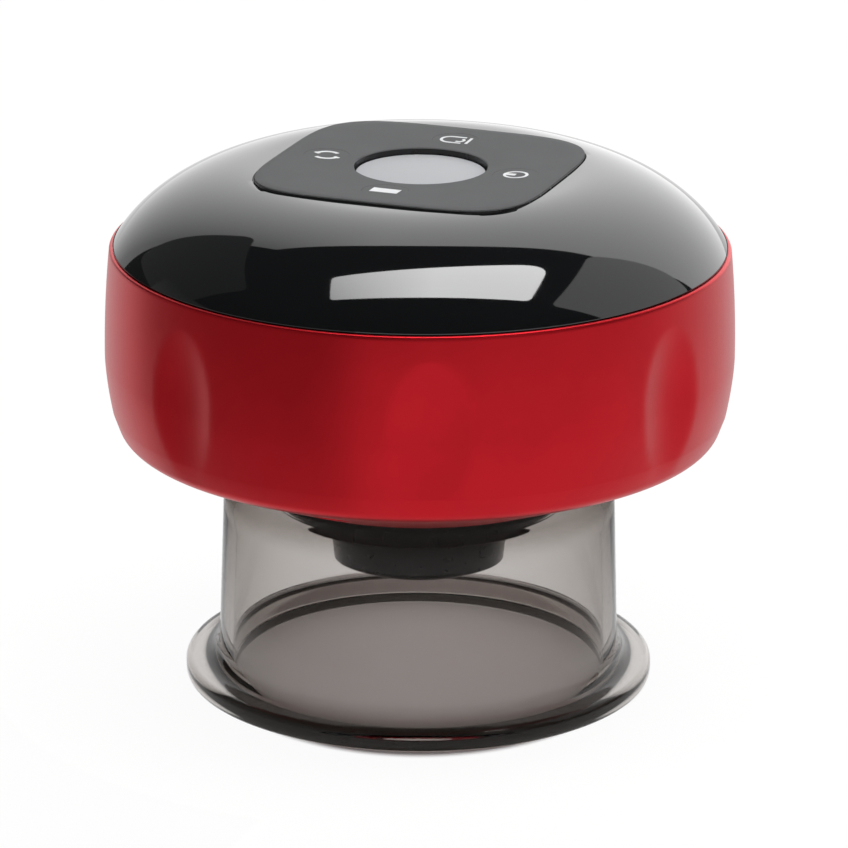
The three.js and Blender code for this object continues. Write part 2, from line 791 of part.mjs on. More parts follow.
function collar() {
  const ringHeight = collarBottom + ringRise;
  const ringCentre = neckBore - seatGap - ringSection;
  const groove = ringSection + slipGap;
  const grooveRadius = ringCentre - ringSection - seatGap;
  const profile = [
    [0, collarBottom],
    [collarRadius - collarEdge, collarBottom],
    [collarRadius, collarBottom + collarEdge],
    [collarRadius, ringHeight - groove],
    [grooveRadius, ringHeight - groove],
    [grooveRadius, ringHeight + groove],
    [collarRadius, ringHeight + groove],
    [collarRadius, collarShoulder],
    [spigotRadius, collarShoulder],
    [spigotRadius, spigotTop],
    [0, spigotTop],
  ];
  let made = turned(profile, mediumFacets);
  const socketTop = nozzleTop + seatGap;
  made = made.subtract(post(nozzleRadius + seatGap, collarBottom - overrun, socketTop, mediumFacets));
  made = made.subtract(post(cablePassage, collarBottom, spigotTop + overrun, smallFacets));
  const barbTop = spigotTop + barbRise;
  made = made.add(post(barbRadius, spigotTop - seatGap, barbTop, tinyFacets, suctionX, suctionY));
  const pocketTop = collarBottom + filterThickness + 2 * seatGap;
  const pocket = filterRadius + seatGap;
  made = made.subtract(post(pocket, collarBottom - overrun, pocketTop, smallFacets, suctionX, suctionY));
  made = made.subtract(post(suctionBore, collarBottom, collarShoulder, tinyFacets, suctionX, suctionY));
  made = made.subtract(post(barbBore, collarBottom, barbTop + overrun, hoseFacets, suctionX, suctionY));
  for (const angle of screwAngles) {
    const [x, y] = onCircle(collarScrewCircle, angle);
    const tip = chassisTop + seatGap - collarScrew.length - fitGap;
    made = made.subtract(post(collarScrew.shank + seatGap, tip, spigotTop + overrun, tinyFacets, x, y));
  }
  addPiece('collar', made, 'blackPlastic');

  const filterBottom = collarBottom + seatGap;
  const filterEnd = filterBottom + filterThickness;
  const filter = post(filterRadius, filterBottom, filterEnd, smallFacets, suctionX, suctionY);
  addPiece('air_filter', filter, 'foam');

  const section = [...Array(ringSteps).keys()].map((i) => {
    const angle = (2 * Math.PI * i) / ringSteps;
    return [ringCentre + ringSection * Math.cos(angle), ringHeight + ringSection * Math.sin(angle)];
  });
  addPiece('collar_seal_ring', turnedRing(section, mediumFacets), 'rubber');
}

function nozzle() {
  const lensSeat = nozzleBottom + lensLip;
  const boardSeat = nozzleBottom + heaterRise;
  const profile = [
    [lensRadius - nozzleLip / 2, nozzleBottom],
    ...arc(nozzleRadius - nozzleRound, nozzleBottom + nozzleRound, nozzleRound, 0.75, 1),
    [nozzleRadius, nozzleTop],
    [nozzleInner, nozzleTop],
    [nozzleInner, boardSeat],
    [lensRadius + seatGap, boardSeat],
    [lensRadius + seatGap, lensSeat],
    [lensRadius - nozzleLip / 2, lensSeat],
  ];
  addPiece('nozzle', turnedRing(profile, mediumFacets), 'blackPlastic');
  const lensBottom = lensSeat + seatGap;
  addPiece('heater_lens', post(lensRadius, lensBottom, lensBottom + lensThickness, mediumFacets), 'redLens');

  const boardLow = boardSeat + seatGap;
  let board = post(nozzleInner - slipGap, boardLow, boardLow + boardThickness, mediumFacets);
  for (let i = 0; i < heaterLeds; i += 1) {
    const [x, y] = onCircle(heaterLedCircle, (360 * i) / heaterLeds);
    board = board.add(centredBlock(heaterLedSide, heaterLedSide, boardLow - heaterLedHeight, boardLow, x, y));
  }
  addPiece('heater_board', board, 'circuitBoard');
}

// Chassis plate with the pump's cradles, the battery's ribs and the socket's stand

function chassis() {
  let made = post(chassisRadius, chassisBottom, chassisTop, mediumFacets);
  const cradleTop = pumpZ - motorRadius / 2;
  for (const inset of [cradleFirst, cradleSecond]) {
    const x = motorFrontX - inset;
    made = made.add(centredBlock(cradleWidth, 2 * motorRadius, chassisBottom, cradleTop, x, pumpY));
  }
  const motorBack = motorFrontX - motorLength;
  const motorSpace = bar(motorRadius + seatGap, motorBack, motorFrontX, pumpY, pumpZ, mediumFacets);
  made = made.subtract(motorSpace);
  const ribY = batteryDepth / 2 + seatGap + batteryRib / 2;
  for (const side of [-1, 1]) {
    const y = batteryY + side * ribY;
    const top = chassisTop + batteryRibHeight;
    made = made.add(centredBlock(batteryWidth, batteryRib, chassisBottom, top, 0, y));
  }
  const pumpPadEnd = motorFrontX + crankcaseLength + pumpCapLength;
  made = made.add(block(
    [pumpPadStart, pumpY - pumpSide / 2 + pumpEdge, chassisBottom],
    [pumpPadEnd, pumpY + pumpSide / 2 - pumpEdge, padTop],
  ));
  made = made.add(block(
    [valveX - valveSide / 2 + valvePadStart, valveY - valveSide / 2, chassisBottom],
    [valveX + valveSide / 2, valveY + valveSide / 2, padTop],
  ));
  const standTop = socketHeight - socketThickness / 2 - seatGap - boardThickness - seatGap;
  const standEnd = Math.sqrt(chassisRadius ** 2 - (chargeBoardWidth / 2) ** 2);
  made = made.add(block(
    [-chargeBoardWidth / 2, standStart, chassisBottom],
    [chargeBoardWidth / 2, standEnd, standTop],
  ));
  const cutStart = chassisBottom - overrun;
  const cutEnd = chassisTop + overrun;
  for (const angle of screwAngles) {
    const [x, y] = onCircle(caseScrewCircle, angle);
    const bossSpace = caseBossRadius + fitGap;
    made = made.subtract(post(bossSpace, cutStart, cutEnd, smallFacets, x, y));
    const [screwX, screwY] = onCircle(collarScrewCircle, angle);
    const hole = collarScrew.shank + slipGap;
    made = made.subtract(post(hole, cutStart, cutEnd, tinyFacets, screwX, screwY));
  }
  for (const [x, y] of [[0, 0], [suctionX, suctionY]]) {
    made = made.subtract(post(passageRadius, cutStart, cutEnd, smallFacets, x, y));
  }
  addPiece('chassis', made, 'whitePlastic');
}

// Vacuum pump: motor, shaft with its crank, crankcase, diaphragm and ported cap, along +X

function pumpPlate(start, end) {
  const half = pumpSide / 2;
  const flat = half - pumpEdge;
  const corners = [
    [-flat, -half], [flat, -half], [half, -flat], [half, flat],
    [flat, half], [-flat, half], [-half, flat], [-half, -flat],
  ];
  const outline = new THREE.Shape(corners.map((corner) => new THREE.Vector2(...corner)));
  const geometry = new THREE.ExtrudeGeometry(outline, { depth: end - start, bevelEnabled: false });
  geometry.rotateY(Math.PI / 2);
  geometry.translate(start, pumpY, pumpZ);
  return solid(geometry);
}

function pump() {
  const motorBack = motorFrontX - motorLength;
  const profile = [
    [0, motorBack],
    [motorRadius - motorEdge, motorBack],
    [motorRadius, motorBack + motorEdge],
    [motorRadius, motorFrontX],
    [0, motorFrontX],
  ];
  const can = new THREE.LatheGeometry(profile.map((point) => new THREE.Vector2(...point)), mediumFacets);
  can.rotateZ(-Math.PI / 2);
  can.translate(0, pumpY, pumpZ);
  const bearing = bar(shaftRadius + seatGap, motorFrontX - shaftDepth - fitGap, motorFrontX + overrun,
    pumpY, pumpZ, tinyFacets);
  addPiece('pump_motor', solid(can).subtract(bearing), 'steel');

  const shaftEnd = motorFrontX + shaftReach;
  const shaft = bar(shaftRadius, motorFrontX - shaftDepth, shaftEnd, pumpY, pumpZ, tinyFacets);
  addPiece('motor_shaft', shaft, 'steel');
  const crankStart = motorFrontX + crankStandoff;
  const crankEnd = crankStart + crankThickness;
  const disc = bar(crankRadius, crankStart, crankEnd, pumpY, pumpZ, smallFacets);
  const pinZ = pumpZ + crankPinOffset;
  const pin = bar(crankPinRadius, crankEnd - seatGap, crankEnd + crankPinLength, pumpY, pinZ, tinyFacets);
  const boreRadius = shaftRadius + seatGap / 2;
  const bore = bar(boreRadius, crankStart - overrun, crankEnd + overrun, pumpY, pumpZ, tinyFacets);
  addPiece('eccentric_crank', disc.add(pin).subtract(bore), 'whitePlastic');

  const caseStart = motorFrontX + seatGap;
  const caseEnd = caseStart + crankcaseLength;
  const boreEnd = caseStart + crankBoreDepth;
  const crankSpace = bar(crankBore, caseStart - overrun, boreEnd, pumpY, pumpZ, mediumFacets);
  addPiece('pump_crankcase', pumpPlate(caseStart, caseEnd).subtract(crankSpace), 'blackPlastic');
  const diaphragmStart = caseEnd + seatGap;
  const diaphragmEnd = diaphragmStart + diaphragmThickness;
  addPiece('pump_diaphragm', pumpPlate(diaphragmStart, diaphragmEnd), 'rubber');

  const capStart = diaphragmEnd + seatGap;
  const capEnd = capStart + pumpCapLength;
  let cap = pumpPlate(capStart, capEnd);
  for (const side of [-1, 1]) {
    const y = pumpY + side * nippleOffset;
    cap = cap.add(bar(barbRadius, capEnd - seatGap, capEnd + barbLength, y, pumpZ, tinyFacets));
    cap = cap.subtract(bar(barbBore, capStart + pumpCapLength / 2, capEnd + barbLength + overrun,
      y, pumpZ, hoseFacets));
  }
  addPiece('pump_cap', cap, 'blackPlastic');
  return capEnd;
}

// Air release valve: an upright solenoid whose sprung plunger closes the seat above it

function releaseValve() {
  const sheet = (bottom, top) => centredBlock(valveSide, valveSide, bottom, top, valveX, valveY);
  const legX = valveX - valveSide / 2 + valveSheet / 4;
  const frame = [
    sheet(valveBottom, valveBottom + valveSheet),
    centredBlock(valveSheet / 2, valveSide, valveBottom, valveFrameTop, legX, valveY),
    sheet(valveFrameTop - valveSheet, valveFrameTop),
  ];
  const way = post(coilBore, coilTop, valveFrameTop + overrun, smallFacets, valveX, valveY);
  addPiece('valve_frame', joined(frame).subtract(way), 'steel');

  const coil = post(coilRadius, coilBottom, coilTop, smallFacets, valveX, valveY);
  const bore = post(coilBore, coilBottom - overrun, coilTop + overrun, smallFacets, valveX, valveY);
  addPiece('valve_coil', coil.subtract(bore), 'copper');

  const seatBottom = valveFrameTop + seatGap;
  const seatTop = pumpZ + barbRadius + valveSheet;
  const plungerTop = seatBottom + valveSheet;
  const springBottom = valveBottom + valveSheet + seatGap;
  const plungerBottom = springBottom + springLength + seatGap;
  const plunger = post(valvePlungerRadius, plungerBottom, plungerTop, tinyFacets, valveX, valveY);
  addPiece('valve_plunger', plunger, 'steel');
  const springTop = springBottom + springLength;
  const spring = post(springRadius, springBottom, springTop, tinyFacets, valveX, valveY);
  const springHole = post(springBore, springBottom - overrun, plungerBottom, tinyFacets, valveX, valveY);
  addPiece('valve_spring', spring.subtract(springHole), 'steel');

  let seat = post(valveSeatRadius, seatBottom, seatTop, smallFacets, valveX, valveY);
  const nippleEnd = valveX + valveSeatRadius + barbLength;
  seat = seat.add(bar(barbRadius, valveX, nippleEnd, valveY, pumpZ, tinyFacets));
  seat = seat.subtract(bar(barbBore, valveX, nippleEnd + overrun, valveY, pumpZ, hoseFacets));
  const chamberTop = plungerTop + seatGap;
  seat = seat.subtract(post(seatChamber, seatBottom - overrun, chamberTop, smallFacets, valveX, valveY));
  seat = seat.subtract(post(barbBore, seatBottom, pumpZ, hoseFacets, valveX, valveY));
  addPiece('valve_seat', seat, 'whitePlastic');
}

// Hoses: from the connector up to a tee, and on to the pump and to the valve

function airPath(pumpCapEnd) {
  const arm = teeBody + barbLength;
  let tee = post(teeBody, pumpZ - teeBody, pumpZ + teeBody, smallFacets, suctionX, suctionY);
  tee = tee.add(bar(barbRadius, suctionX - arm, suctionX + arm, suctionY, pumpZ, tinyFacets));
  tee = tee.add(post(barbRadius, pumpZ - arm, pumpZ, tinyFacets, suctionX, suctionY));
  tee = tee.subtract(bar(barbBore, suctionX - arm - overrun, suctionX + arm + overrun,
    suctionY, pumpZ, hoseFacets));
  tee = tee.subtract(post(barbBore, pumpZ - arm - overrun, pumpZ, hoseFacets, suctionX, suctionY));
  addPiece('tee_connector', tee, 'whitePlastic');

  const bore = barbRadius + slipGap;
  const start = chassisTop + fitGap;
  const riser = [[suctionX, suctionY, start], [suctionX, suctionY, pumpZ - teeBody - fitGap]];
  addPiece('hose_riser', hose(riser, hoseRadius, bore, 1), 'silicone');

  const valveEnd = valveX + valveSeatRadius + fitGap;
  const link = [[valveEnd, valveY, pumpZ], [suctionX - teeBody - fitGap, suctionY, pumpZ]];
  addPiece('hose_valve', hose(link, hoseRadius, bore, 1), 'silicone');

  const inletY = pumpY + nippleOffset;
  const bend = (suctionY - inletY) / 2;
  const straightX = Math.max(suctionX + arm, pumpCapEnd + barbLength) + fitGap;
  const turn = [...Array(hoseSteps / 2 + 1).keys()].map((i) => {
    const angle = Math.PI / 2 - (Math.PI * i) / (hoseSteps / 2);
    return [straightX + bend * Math.cos(angle), (suctionY + inletY) / 2 + bend * Math.sin(angle), pumpZ];
  });
  const startX = suctionX + teeBody + fitGap;
  const endX = pumpCapEnd + fitGap;
  const route = [
    [startX, suctionY, pumpZ],
    [(startX + straightX) / 2, suctionY, pumpZ],
    ...turn,
    [(endX + straightX) / 2, inletY, pumpZ],
    [endX, inletY, pumpZ],
  ];
  addPiece('hose_pump', hose(route, hoseRadius, bore, hoseSteps), 'silicone');
}

// Battery and the leads to the control board

function battery() {
  const top = batteryBottom + batteryHeight;
  const pack = roundedBlock(batteryWidth, batteryDepth, batteryBottom, top, batteryRound, 0, batteryY);
  addPiece('battery_pack', pack, 'batteryWrap');
}

function leads() {
  const plugBottom = boardBottom - leadPlugHeight - fitGap;
  const batteryTop = batteryBottom + batteryHeight + fitGap;
  addPiece('battery_lead', hose([
    [batteryLeadX, batteryY, batteryTop],
    [batteryLeadX, batteryY, plugBottom],
  ], leadRadius, 0, 1), 'leadJacket');

  const motorBack = motorFrontX - motorLength - fitGap;
  const bendX = motorBack - 4 * leadRadius;
  const sideY = pumpY + motorRadius + leadRadius;
  const rise = (plugBottom - pumpZ) / 5;
  addPiece('motor_lead', hose([
    [motorBack, pumpY, pumpZ],
    [motorBack - leadRadius, pumpY, pumpZ],
    [motorBack - 2 * leadRadius, pumpY, pumpZ],
    [bendX, (pumpY + sideY) / 2, pumpZ + rise],
    [(bendX + motorLeadX) / 2, sideY, pumpZ + 2 * rise],
    [motorLeadX, motorLeadY, pumpZ + 4 * rise],
    [motorLeadX, motorLeadY, plugBottom],
  ], leadRadius, 0, hoseSteps), 'leadJacket');

  const heaterTop = nozzleBottom + heaterRise + seatGap + boardThickness + fitGap;
  addPiece('heater_lead', hose([
    [0, heaterLeadY, heaterTop],
    [0, heaterLeadY, plugBottom],
  ], leadRadius, 0, 1), 'leadJacket');
}

// Assembly

suctionCup();
addPiece('lower_shell', lowerShell(), 'redLacquer');
addPiece('dome_cover', domeCover(), 'pianoBlack');
chargingSocket();
controlPanel();
display();
keys();
controlBoard();
collar();
nozzle();
chassis();
airPath(pump());
releaseValve();
battery();
leads();
screws();

export default massager;
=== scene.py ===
import json
import math

import bpy
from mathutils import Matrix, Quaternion, Vector


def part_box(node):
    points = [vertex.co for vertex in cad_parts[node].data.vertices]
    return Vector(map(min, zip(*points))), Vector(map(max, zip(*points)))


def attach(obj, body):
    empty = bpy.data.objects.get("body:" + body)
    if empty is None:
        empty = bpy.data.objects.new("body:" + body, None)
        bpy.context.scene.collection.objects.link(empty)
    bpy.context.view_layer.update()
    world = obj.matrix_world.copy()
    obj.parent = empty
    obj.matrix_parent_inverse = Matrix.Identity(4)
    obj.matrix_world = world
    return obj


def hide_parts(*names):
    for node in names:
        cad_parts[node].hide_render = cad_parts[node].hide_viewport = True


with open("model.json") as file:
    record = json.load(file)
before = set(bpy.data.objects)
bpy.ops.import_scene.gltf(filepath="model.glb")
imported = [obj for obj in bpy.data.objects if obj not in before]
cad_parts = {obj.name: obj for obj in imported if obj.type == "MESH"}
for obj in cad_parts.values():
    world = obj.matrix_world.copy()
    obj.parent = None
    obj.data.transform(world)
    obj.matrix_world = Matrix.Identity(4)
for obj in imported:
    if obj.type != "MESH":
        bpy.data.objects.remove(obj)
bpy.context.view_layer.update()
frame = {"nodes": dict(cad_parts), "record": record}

# Places of the pieces, read from the frame
CUP_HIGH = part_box("suction_cup")[1]
SHELL_LOW, SHELL_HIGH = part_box("lower_shell")
DOME_LOW, DOME_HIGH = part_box("dome_cover")
PANEL_LOW, PANEL_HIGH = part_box("control_panel")
WINDOW_LOW, WINDOW_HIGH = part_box("display_window")
COLLAR_LOW, COLLAR_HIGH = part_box("collar")
NOZZLE_LOW, NOZZLE_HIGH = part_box("nozzle")
LENS_LOW, LENS_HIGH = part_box("heater_lens")
RING_LOW, RING_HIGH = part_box("collar_seal_ring")
SOCKET_LOW, SOCKET_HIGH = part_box("usb_socket")
MM = 0.001
RUN_GAP = 0.1 * MM
FIT_GAP = 0.3 * MM
OVERRUN = 1 * MM

# Fineness of the turned and lofted surfaces
ROUND_STEPS = 224
SMALL_STEPS = 48
KEY_STEPS = 96
FLOOR_STEPS = 96
ARC_STEPS = 8
EDGE_STEPS = 3
SEAM_STEPS = 4
COLLAR_EDGE_STEPS = 5
NOZZLE_ROUND_STEPS = 10
RING_SECTION_STEPS = 20
SHARP_ANGLE = math.radians(32)


# Mesh building

def make_piece(name, points, faces):
    mesh = bpy.data.meshes.new(name)
    mesh.from_pydata(points, [], faces)
    mesh.validate()
    mesh.shade_smooth()
    mesh.set_sharp_from_angle(angle=SHARP_ANGLE)
    piece = bpy.data.objects.new(name, mesh)
    bpy.context.scene.collection.objects.link(piece)
    return piece


def loft(name, rings, closed):
    """Rings of equal length joined in turn, in a loop if closed and else with both ends capped."""
    count = len(rings[0])
    points = [point for ring in rings for point in ring]
    faces = []
    spans = len(rings) if closed else len(rings) - 1
    for i in range(spans):
        low, high = i * count, (i + 1) % len(rings) * count
        for j in range(count):
            k = (j + 1) % count
            faces.append((low + j, low + k, high + k, high + j))
    if not closed:
        faces.append(tuple(range(count - 1, -1, -1)))
        faces.append(tuple(range(len(points) - count, len(points))))
    return make_piece(name, points, faces)


def circle(radius, height, steps=ROUND_STEPS, x=0.0, y=0.0):
    turns = [2 * math.pi * i / steps for i in range(steps)]
    return [(x + radius * math.cos(t), y + radius * math.sin(t), height) for t in turns]


def turned(name, profile, closed=False, steps=ROUND_STEPS, x=0.0, y=0.0):
    """A solid turned about an upright line, from (radius, height) points listed anticlockwise."""
    return loft(name, [circle(r, z, steps, x, y) for r, z in profile], closed)


def arc(centre_radius, centre_height, size, start_turn, end_turn, steps=ARC_STEPS):
    """Points of a round edge from one share of a full turn to another."""
    points = []
    for i in range(steps + 1):
        angle = 2 * math.pi * (start_turn + (end_turn - start_turn) * i / steps)
        points.append((centre_radius + size * math.cos(angle), centre_height + size * math.sin(angle)))
    return points


def post(radius, low, high, x=0.0, y=0.0, steps=SMALL_STEPS):
    return turned("post", [(radius, low), (radius, high)], False, steps, x, y)


def apply_modifiers(piece):
    graph = bpy.context.evaluated_depsgraph_get()
    mesh = bpy.data.meshes.new_from_object(piece.evaluated_get(graph))
    piece.modifiers.clear()
    piece.data = mesh
    mesh.shade_smooth()
    mesh.set_sharp_from_angle(angle=SHARP_ANGLE)


def combine(piece, tools, operation):
    """Join the tools to the piece or cut them from it, and remove them."""
    for tool in tools:
        modifier = piece.modifiers.new(operation, "BOOLEAN")
        modifier.operation = operation
        modifier.solver = "EXACT"
        modifier.object = tool
    apply_modifiers(piece)
    for tool in tools:
        bpy.data.objects.remove(tool)


def on_circle(radius, degrees):
    angle = math.radians(degrees)
    return radius * math.cos(angle), radius * math.sin(angle)


def stands_for(piece, body, slot, *nodes):
    """The piece rides on the body and takes the place of the nodes."""
    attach(piece, body)
    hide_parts(*nodes)
    return piece


# Finishes: each varies in colour, roughness and fine relief
PATCH_DETAIL = 4.0
GRAIN_DETAIL = 2.0
NOISE_ROUGHNESS = 0.55
NOISE_LOW = 0.3
NOISE_HIGH = 0.7


def add_noise(tree, place, size, detail):
    noise = tree.nodes.new("ShaderNodeTexNoise")
    noise.inputs["Scale"].default_value = 1 / size
    noise.inputs["Detail"].default_value = detail
    noise.inputs["Roughness"].default_value = NOISE_ROUGHNESS
    tree.links.new(place, noise.inputs["Vector"])
    return noise.outputs["Fac"]


def add_range(tree, value, low, high, start=NOISE_LOW, end=NOISE_HIGH):
    """A value that runs from low to high while the given one runs from start to end."""
    ranged = tree.nodes.new("ShaderNodeMapRange")
    ranged.inputs["From Min"].default_value = start
    ranged.inputs["From Max"].default_value = end
    ranged.inputs["To Min"].default_value = low
    ranged.inputs["To Max"].default_value = high
    tree.links.new(value, ranged.inputs["Value"])
    return ranged.outputs["Result"]


def add_math(tree, operation, first, second):
    node = tree.nodes.new("ShaderNodeMath")
    node.operation = operation
    tree.links.new(first, node.inputs[0])
    tree.links.new(second, node.inputs[1])
    return node.outputs["Value"]


def add_mix(tree, share, first, second):
    """A colour between two, each of them a tuple or a socket."""
    mix = tree.nodes.new("ShaderNodeMix")
    mix.data_type = "RGBA"
    tree.links.new(share, mix.inputs["Factor"])
    for socket, colour in (("A", first), ("B", second)):
        target = [s for s in mix.inputs if s.name == socket and s.type == "RGBA"][0]
        if isinstance(colour, tuple):
            target.default_value = (*colour, 1)
        else:
            tree.links.new(colour, target)
    return [s for s in mix.outputs if s.type == "RGBA"][0]


def add_bump(tree, height, depth):
    bump = tree.nodes.new("ShaderNodeBump")
    bump.inputs["Strength"].default_value = 1
    bump.inputs["Distance"].default_value = depth
    tree.links.new(height, bump.inputs["Height"])
    return bump


def add_relief(tree, height, depth):
    """Relief over the grain that the finish has."""
    normal = tree.nodes["Principled BSDF"].inputs["Normal"]
    bump = add_bump(tree, height, depth)
    tree.links.new(normal.links[0].from_socket, bump.inputs["Normal"])
    tree.links.new(bump.outputs["Normal"], normal)


def darker(colour, share):
    return tuple(value * share for value in colour)


def finish_of(name, colour, shade, patch, roughness, grain, depth, stretch=(1, 1, 1), **sockets):
    """A finish whose colour falls to shade times itself over patches, and whose grain is depth high."""
    material = bpy.data.materials.new(name)
    material.use_nodes = True
    tree = material.node_tree
    shader = tree.nodes["Principled BSDF"]
    coordinates = tree.nodes.new("ShaderNodeTexCoord").outputs["Object"]
    mapping = tree.nodes.new("ShaderNodeMapping")
    mapping.inputs["Scale"].default_value = stretch
    tree.links.new(coordinates, mapping.inputs["Vector"])
    place = mapping.outputs["Vector"]
    patches = add_noise(tree, place, patch, PATCH_DETAIL)
    grains = add_noise(tree, place, grain, GRAIN_DETAIL)
    share = add_range(tree, patches, 0, 1)
    colours = add_mix(tree, share, darker(colour, shade), colour)
    tree.links.new(colours, shader.inputs["Base Color"])
    rough = add_range(tree, grains, *roughness)
    tree.links.new(rough, shader.inputs["Roughness"])
    tree.links.new(add_bump(tree, grains, depth).outputs["Normal"], shader.inputs["Normal"])
    for socket, value in sockets.items():
        shader.inputs[socket.replace("_", " ")].default_value = value
    return material


def red_lacquer():
    """Satin metallic lacquer: fine flake under an even sheen."""
    return finish_of("red_lacquer", colour=(0.48, 0.011, 0.018), shade=0.92, patch=9 * MM,
                     roughness=(0.33, 0.39), grain=0.16 * MM, depth=0.0012 * MM, Metallic=0.94)


def gloss_black():
    return finish_of("gloss_black", colour=(0.004, 0.0045, 0.005), shade=0.8, patch=30 * MM,
                     roughness=(0.03, 0.045), grain=7 * MM, depth=0.0015 * MM, IOR=1.65)


def panel_grey():
    return finish_of("panel_grey", colour=(0.106, 0.107, 0.109), shade=0.94, patch=6 * MM,
                     roughness=(0.85, 0.95), grain=0.14 * MM, depth=0.006 * MM, IOR=1.2)


def display_grey():
    return finish_of("display_grey", colour=(0.375, 0.38, 0.395), shade=0.98, patch=12 * MM,
                     roughness=(0.6, 0.66), grain=0.3 * MM, depth=0.0005 * MM, IOR=1.25)


def ink_white():
    return finish_of("ink_white", colour=(0.62, 0.63, 0.64), shade=0.9, patch=0.8 * MM,
                     roughness=(0.45, 0.6), grain=0.08 * MM, depth=0.002 * MM)


def black_plastic():
    return finish_of("black_plastic", colour=(0.006, 0.006, 0.0065), shade=0.75, patch=5 * MM,
                     roughness=(0.22, 0.28), grain=1.2 * MM, depth=0.0005 * MM)


def white_plastic():
    return finish_of("white_plastic", colour=(0.68, 0.68, 0.64), shade=0.93, patch=5 * MM,
                     roughness=(0.4, 0.52), grain=0.3 * MM, depth=0.006 * MM)


def seal_rubber():
    return finish_of("seal_rubber", colour=(0.02, 0.02, 0.021), shade=0.7, patch=2 * MM,
                     roughness=(0.6, 0.75), grain=0.1 * MM, depth=0.008 * MM)


def silicone():
    return finish_of("silicone", colour=(0.65, 0.63, 0.58), shade=0.92, patch=3 * MM,
                     roughness=(0.38, 0.5), grain=0.2 * MM, depth=0.004 * MM, Subsurface_Weight=0.15)


def red_lens():
    return finish_of("red_lens", colour=(0.6, 0.012, 0.012), shade=0.85, patch=4 * MM,
                     roughness=(0.04, 0.08), grain=1.2 * MM, depth=0.002 * MM,
                     Transmission_Weight=0.85)


def steel():
    return finish_of("steel", colour=(0.46, 0.47, 0.48), shade=0.86, patch=3 * MM,
                     roughness=(0.22, 0.36), grain=0.12 * MM, depth=0.004 * MM,
                     stretch=(1, 1, 0.08), Metallic=1.0)


def filter_foam():
    return finish_of("filter_foam", colour=(0.07, 0.07, 0.065), shade=0.35, patch=0.35 * MM,
                     roughness=(0.85, 0.95), grain=0.25 * MM, depth=0.12 * MM)


def battery_wrap():
    return finish_of("battery_wrap", colour=(0.025, 0.11, 0.34), shade=0.85, patch=7 * MM,
                     roughness=(0.25, 0.36), grain=1.6 * MM, depth=0.02 * MM)


def lead_jacket():
    return finish_of("lead_jacket", colour=(0.35, 0.012, 0.012), shade=0.8, patch=2 * MM,
                     roughness=(0.4, 0.5), grain=0.2 * MM, depth=0.004 * MM)


# Enamelled winding: fine turns round the coil's upright axis
WIRE_PITCH = 0.2 * MM
WIRE_DEPTH = 0.05 * MM
WAVE_WIDTH = 0.3


def copper_wire():
    material = finish_of("copper_wire", colour=(0.39, 0.1, 0.023), shade=0.7, patch=2 * MM,
                         roughness=(0.25, 0.38), grain=WIRE_PITCH, depth=0.003 * MM, Metallic=0.9)
    tree = material.node_tree
    coordinates = tree.nodes.new("ShaderNodeTexCoord").outputs["Object"]
    turns = tree.nodes.new("ShaderNodeTexWave")
    turns.bands_direction = "Z"
    turns.inputs["Scale"].default_value = WAVE_WIDTH / WIRE_PITCH
    tree.links.new(coordinates, turns.inputs["Vector"])
    add_relief(tree, turns.outputs["Fac"], WIRE_DEPTH)
    return material


# Green solder mask with paler tracks in straight runs
TRACK_COLOUR = (0.03, 0.2, 0.07)
TRACK_PITCH = 2.4 * MM
TRACK_SHARE = 0.035
TRACK_SOFTNESS = 0.2
TRACK_DEPTH = 0.03 * MM


def circuit_board():
    material = finish_of("circuit_board", colour=(0.012, 0.1, 0.035), shade=0.75, patch=4 * MM,
                         roughness=(0.25, 0.35), grain=0.3 * MM, depth=0.004 * MM)
    tree = material.node_tree
    colour = tree.nodes["Principled BSDF"].inputs["Base Color"]
    coordinates = tree.nodes.new("ShaderNodeTexCoord").outputs["Object"]
    tracks = tree.nodes.new("ShaderNodeTexBrick")
    tracks.inputs["Scale"].default_value = 1 / TRACK_PITCH
    tracks.inputs["Mortar Size"].default_value = TRACK_SHARE
    tracks.inputs["Mortar Smooth"].default_value = TRACK_SOFTNESS
    tree.links.new(coordinates, tracks.inputs["Vector"])
    plain = colour.links[0].from_socket
    tree.links.new(add_mix(tree, tracks.outputs["Fac"], plain, TRACK_COLOUR), colour)
    add_relief(tree, tracks.outputs["Fac"], TRACK_DEPTH)
    return material


# Clear smoked plastic: the wall's thickness sets its tint, and it bends light less towards the neck
SMOKE_COLOUR = (0.5, 0.46, 0.43, 1)
SMOKE_DENSITY = 340
SHADOW_COLOUR = (0.72, 0.71, 0.7, 1)
BEND_LOW = 1.26
BEND_HIGH = 1.07
BEND_START = 4 * MM
BEND_END = 27 * MM


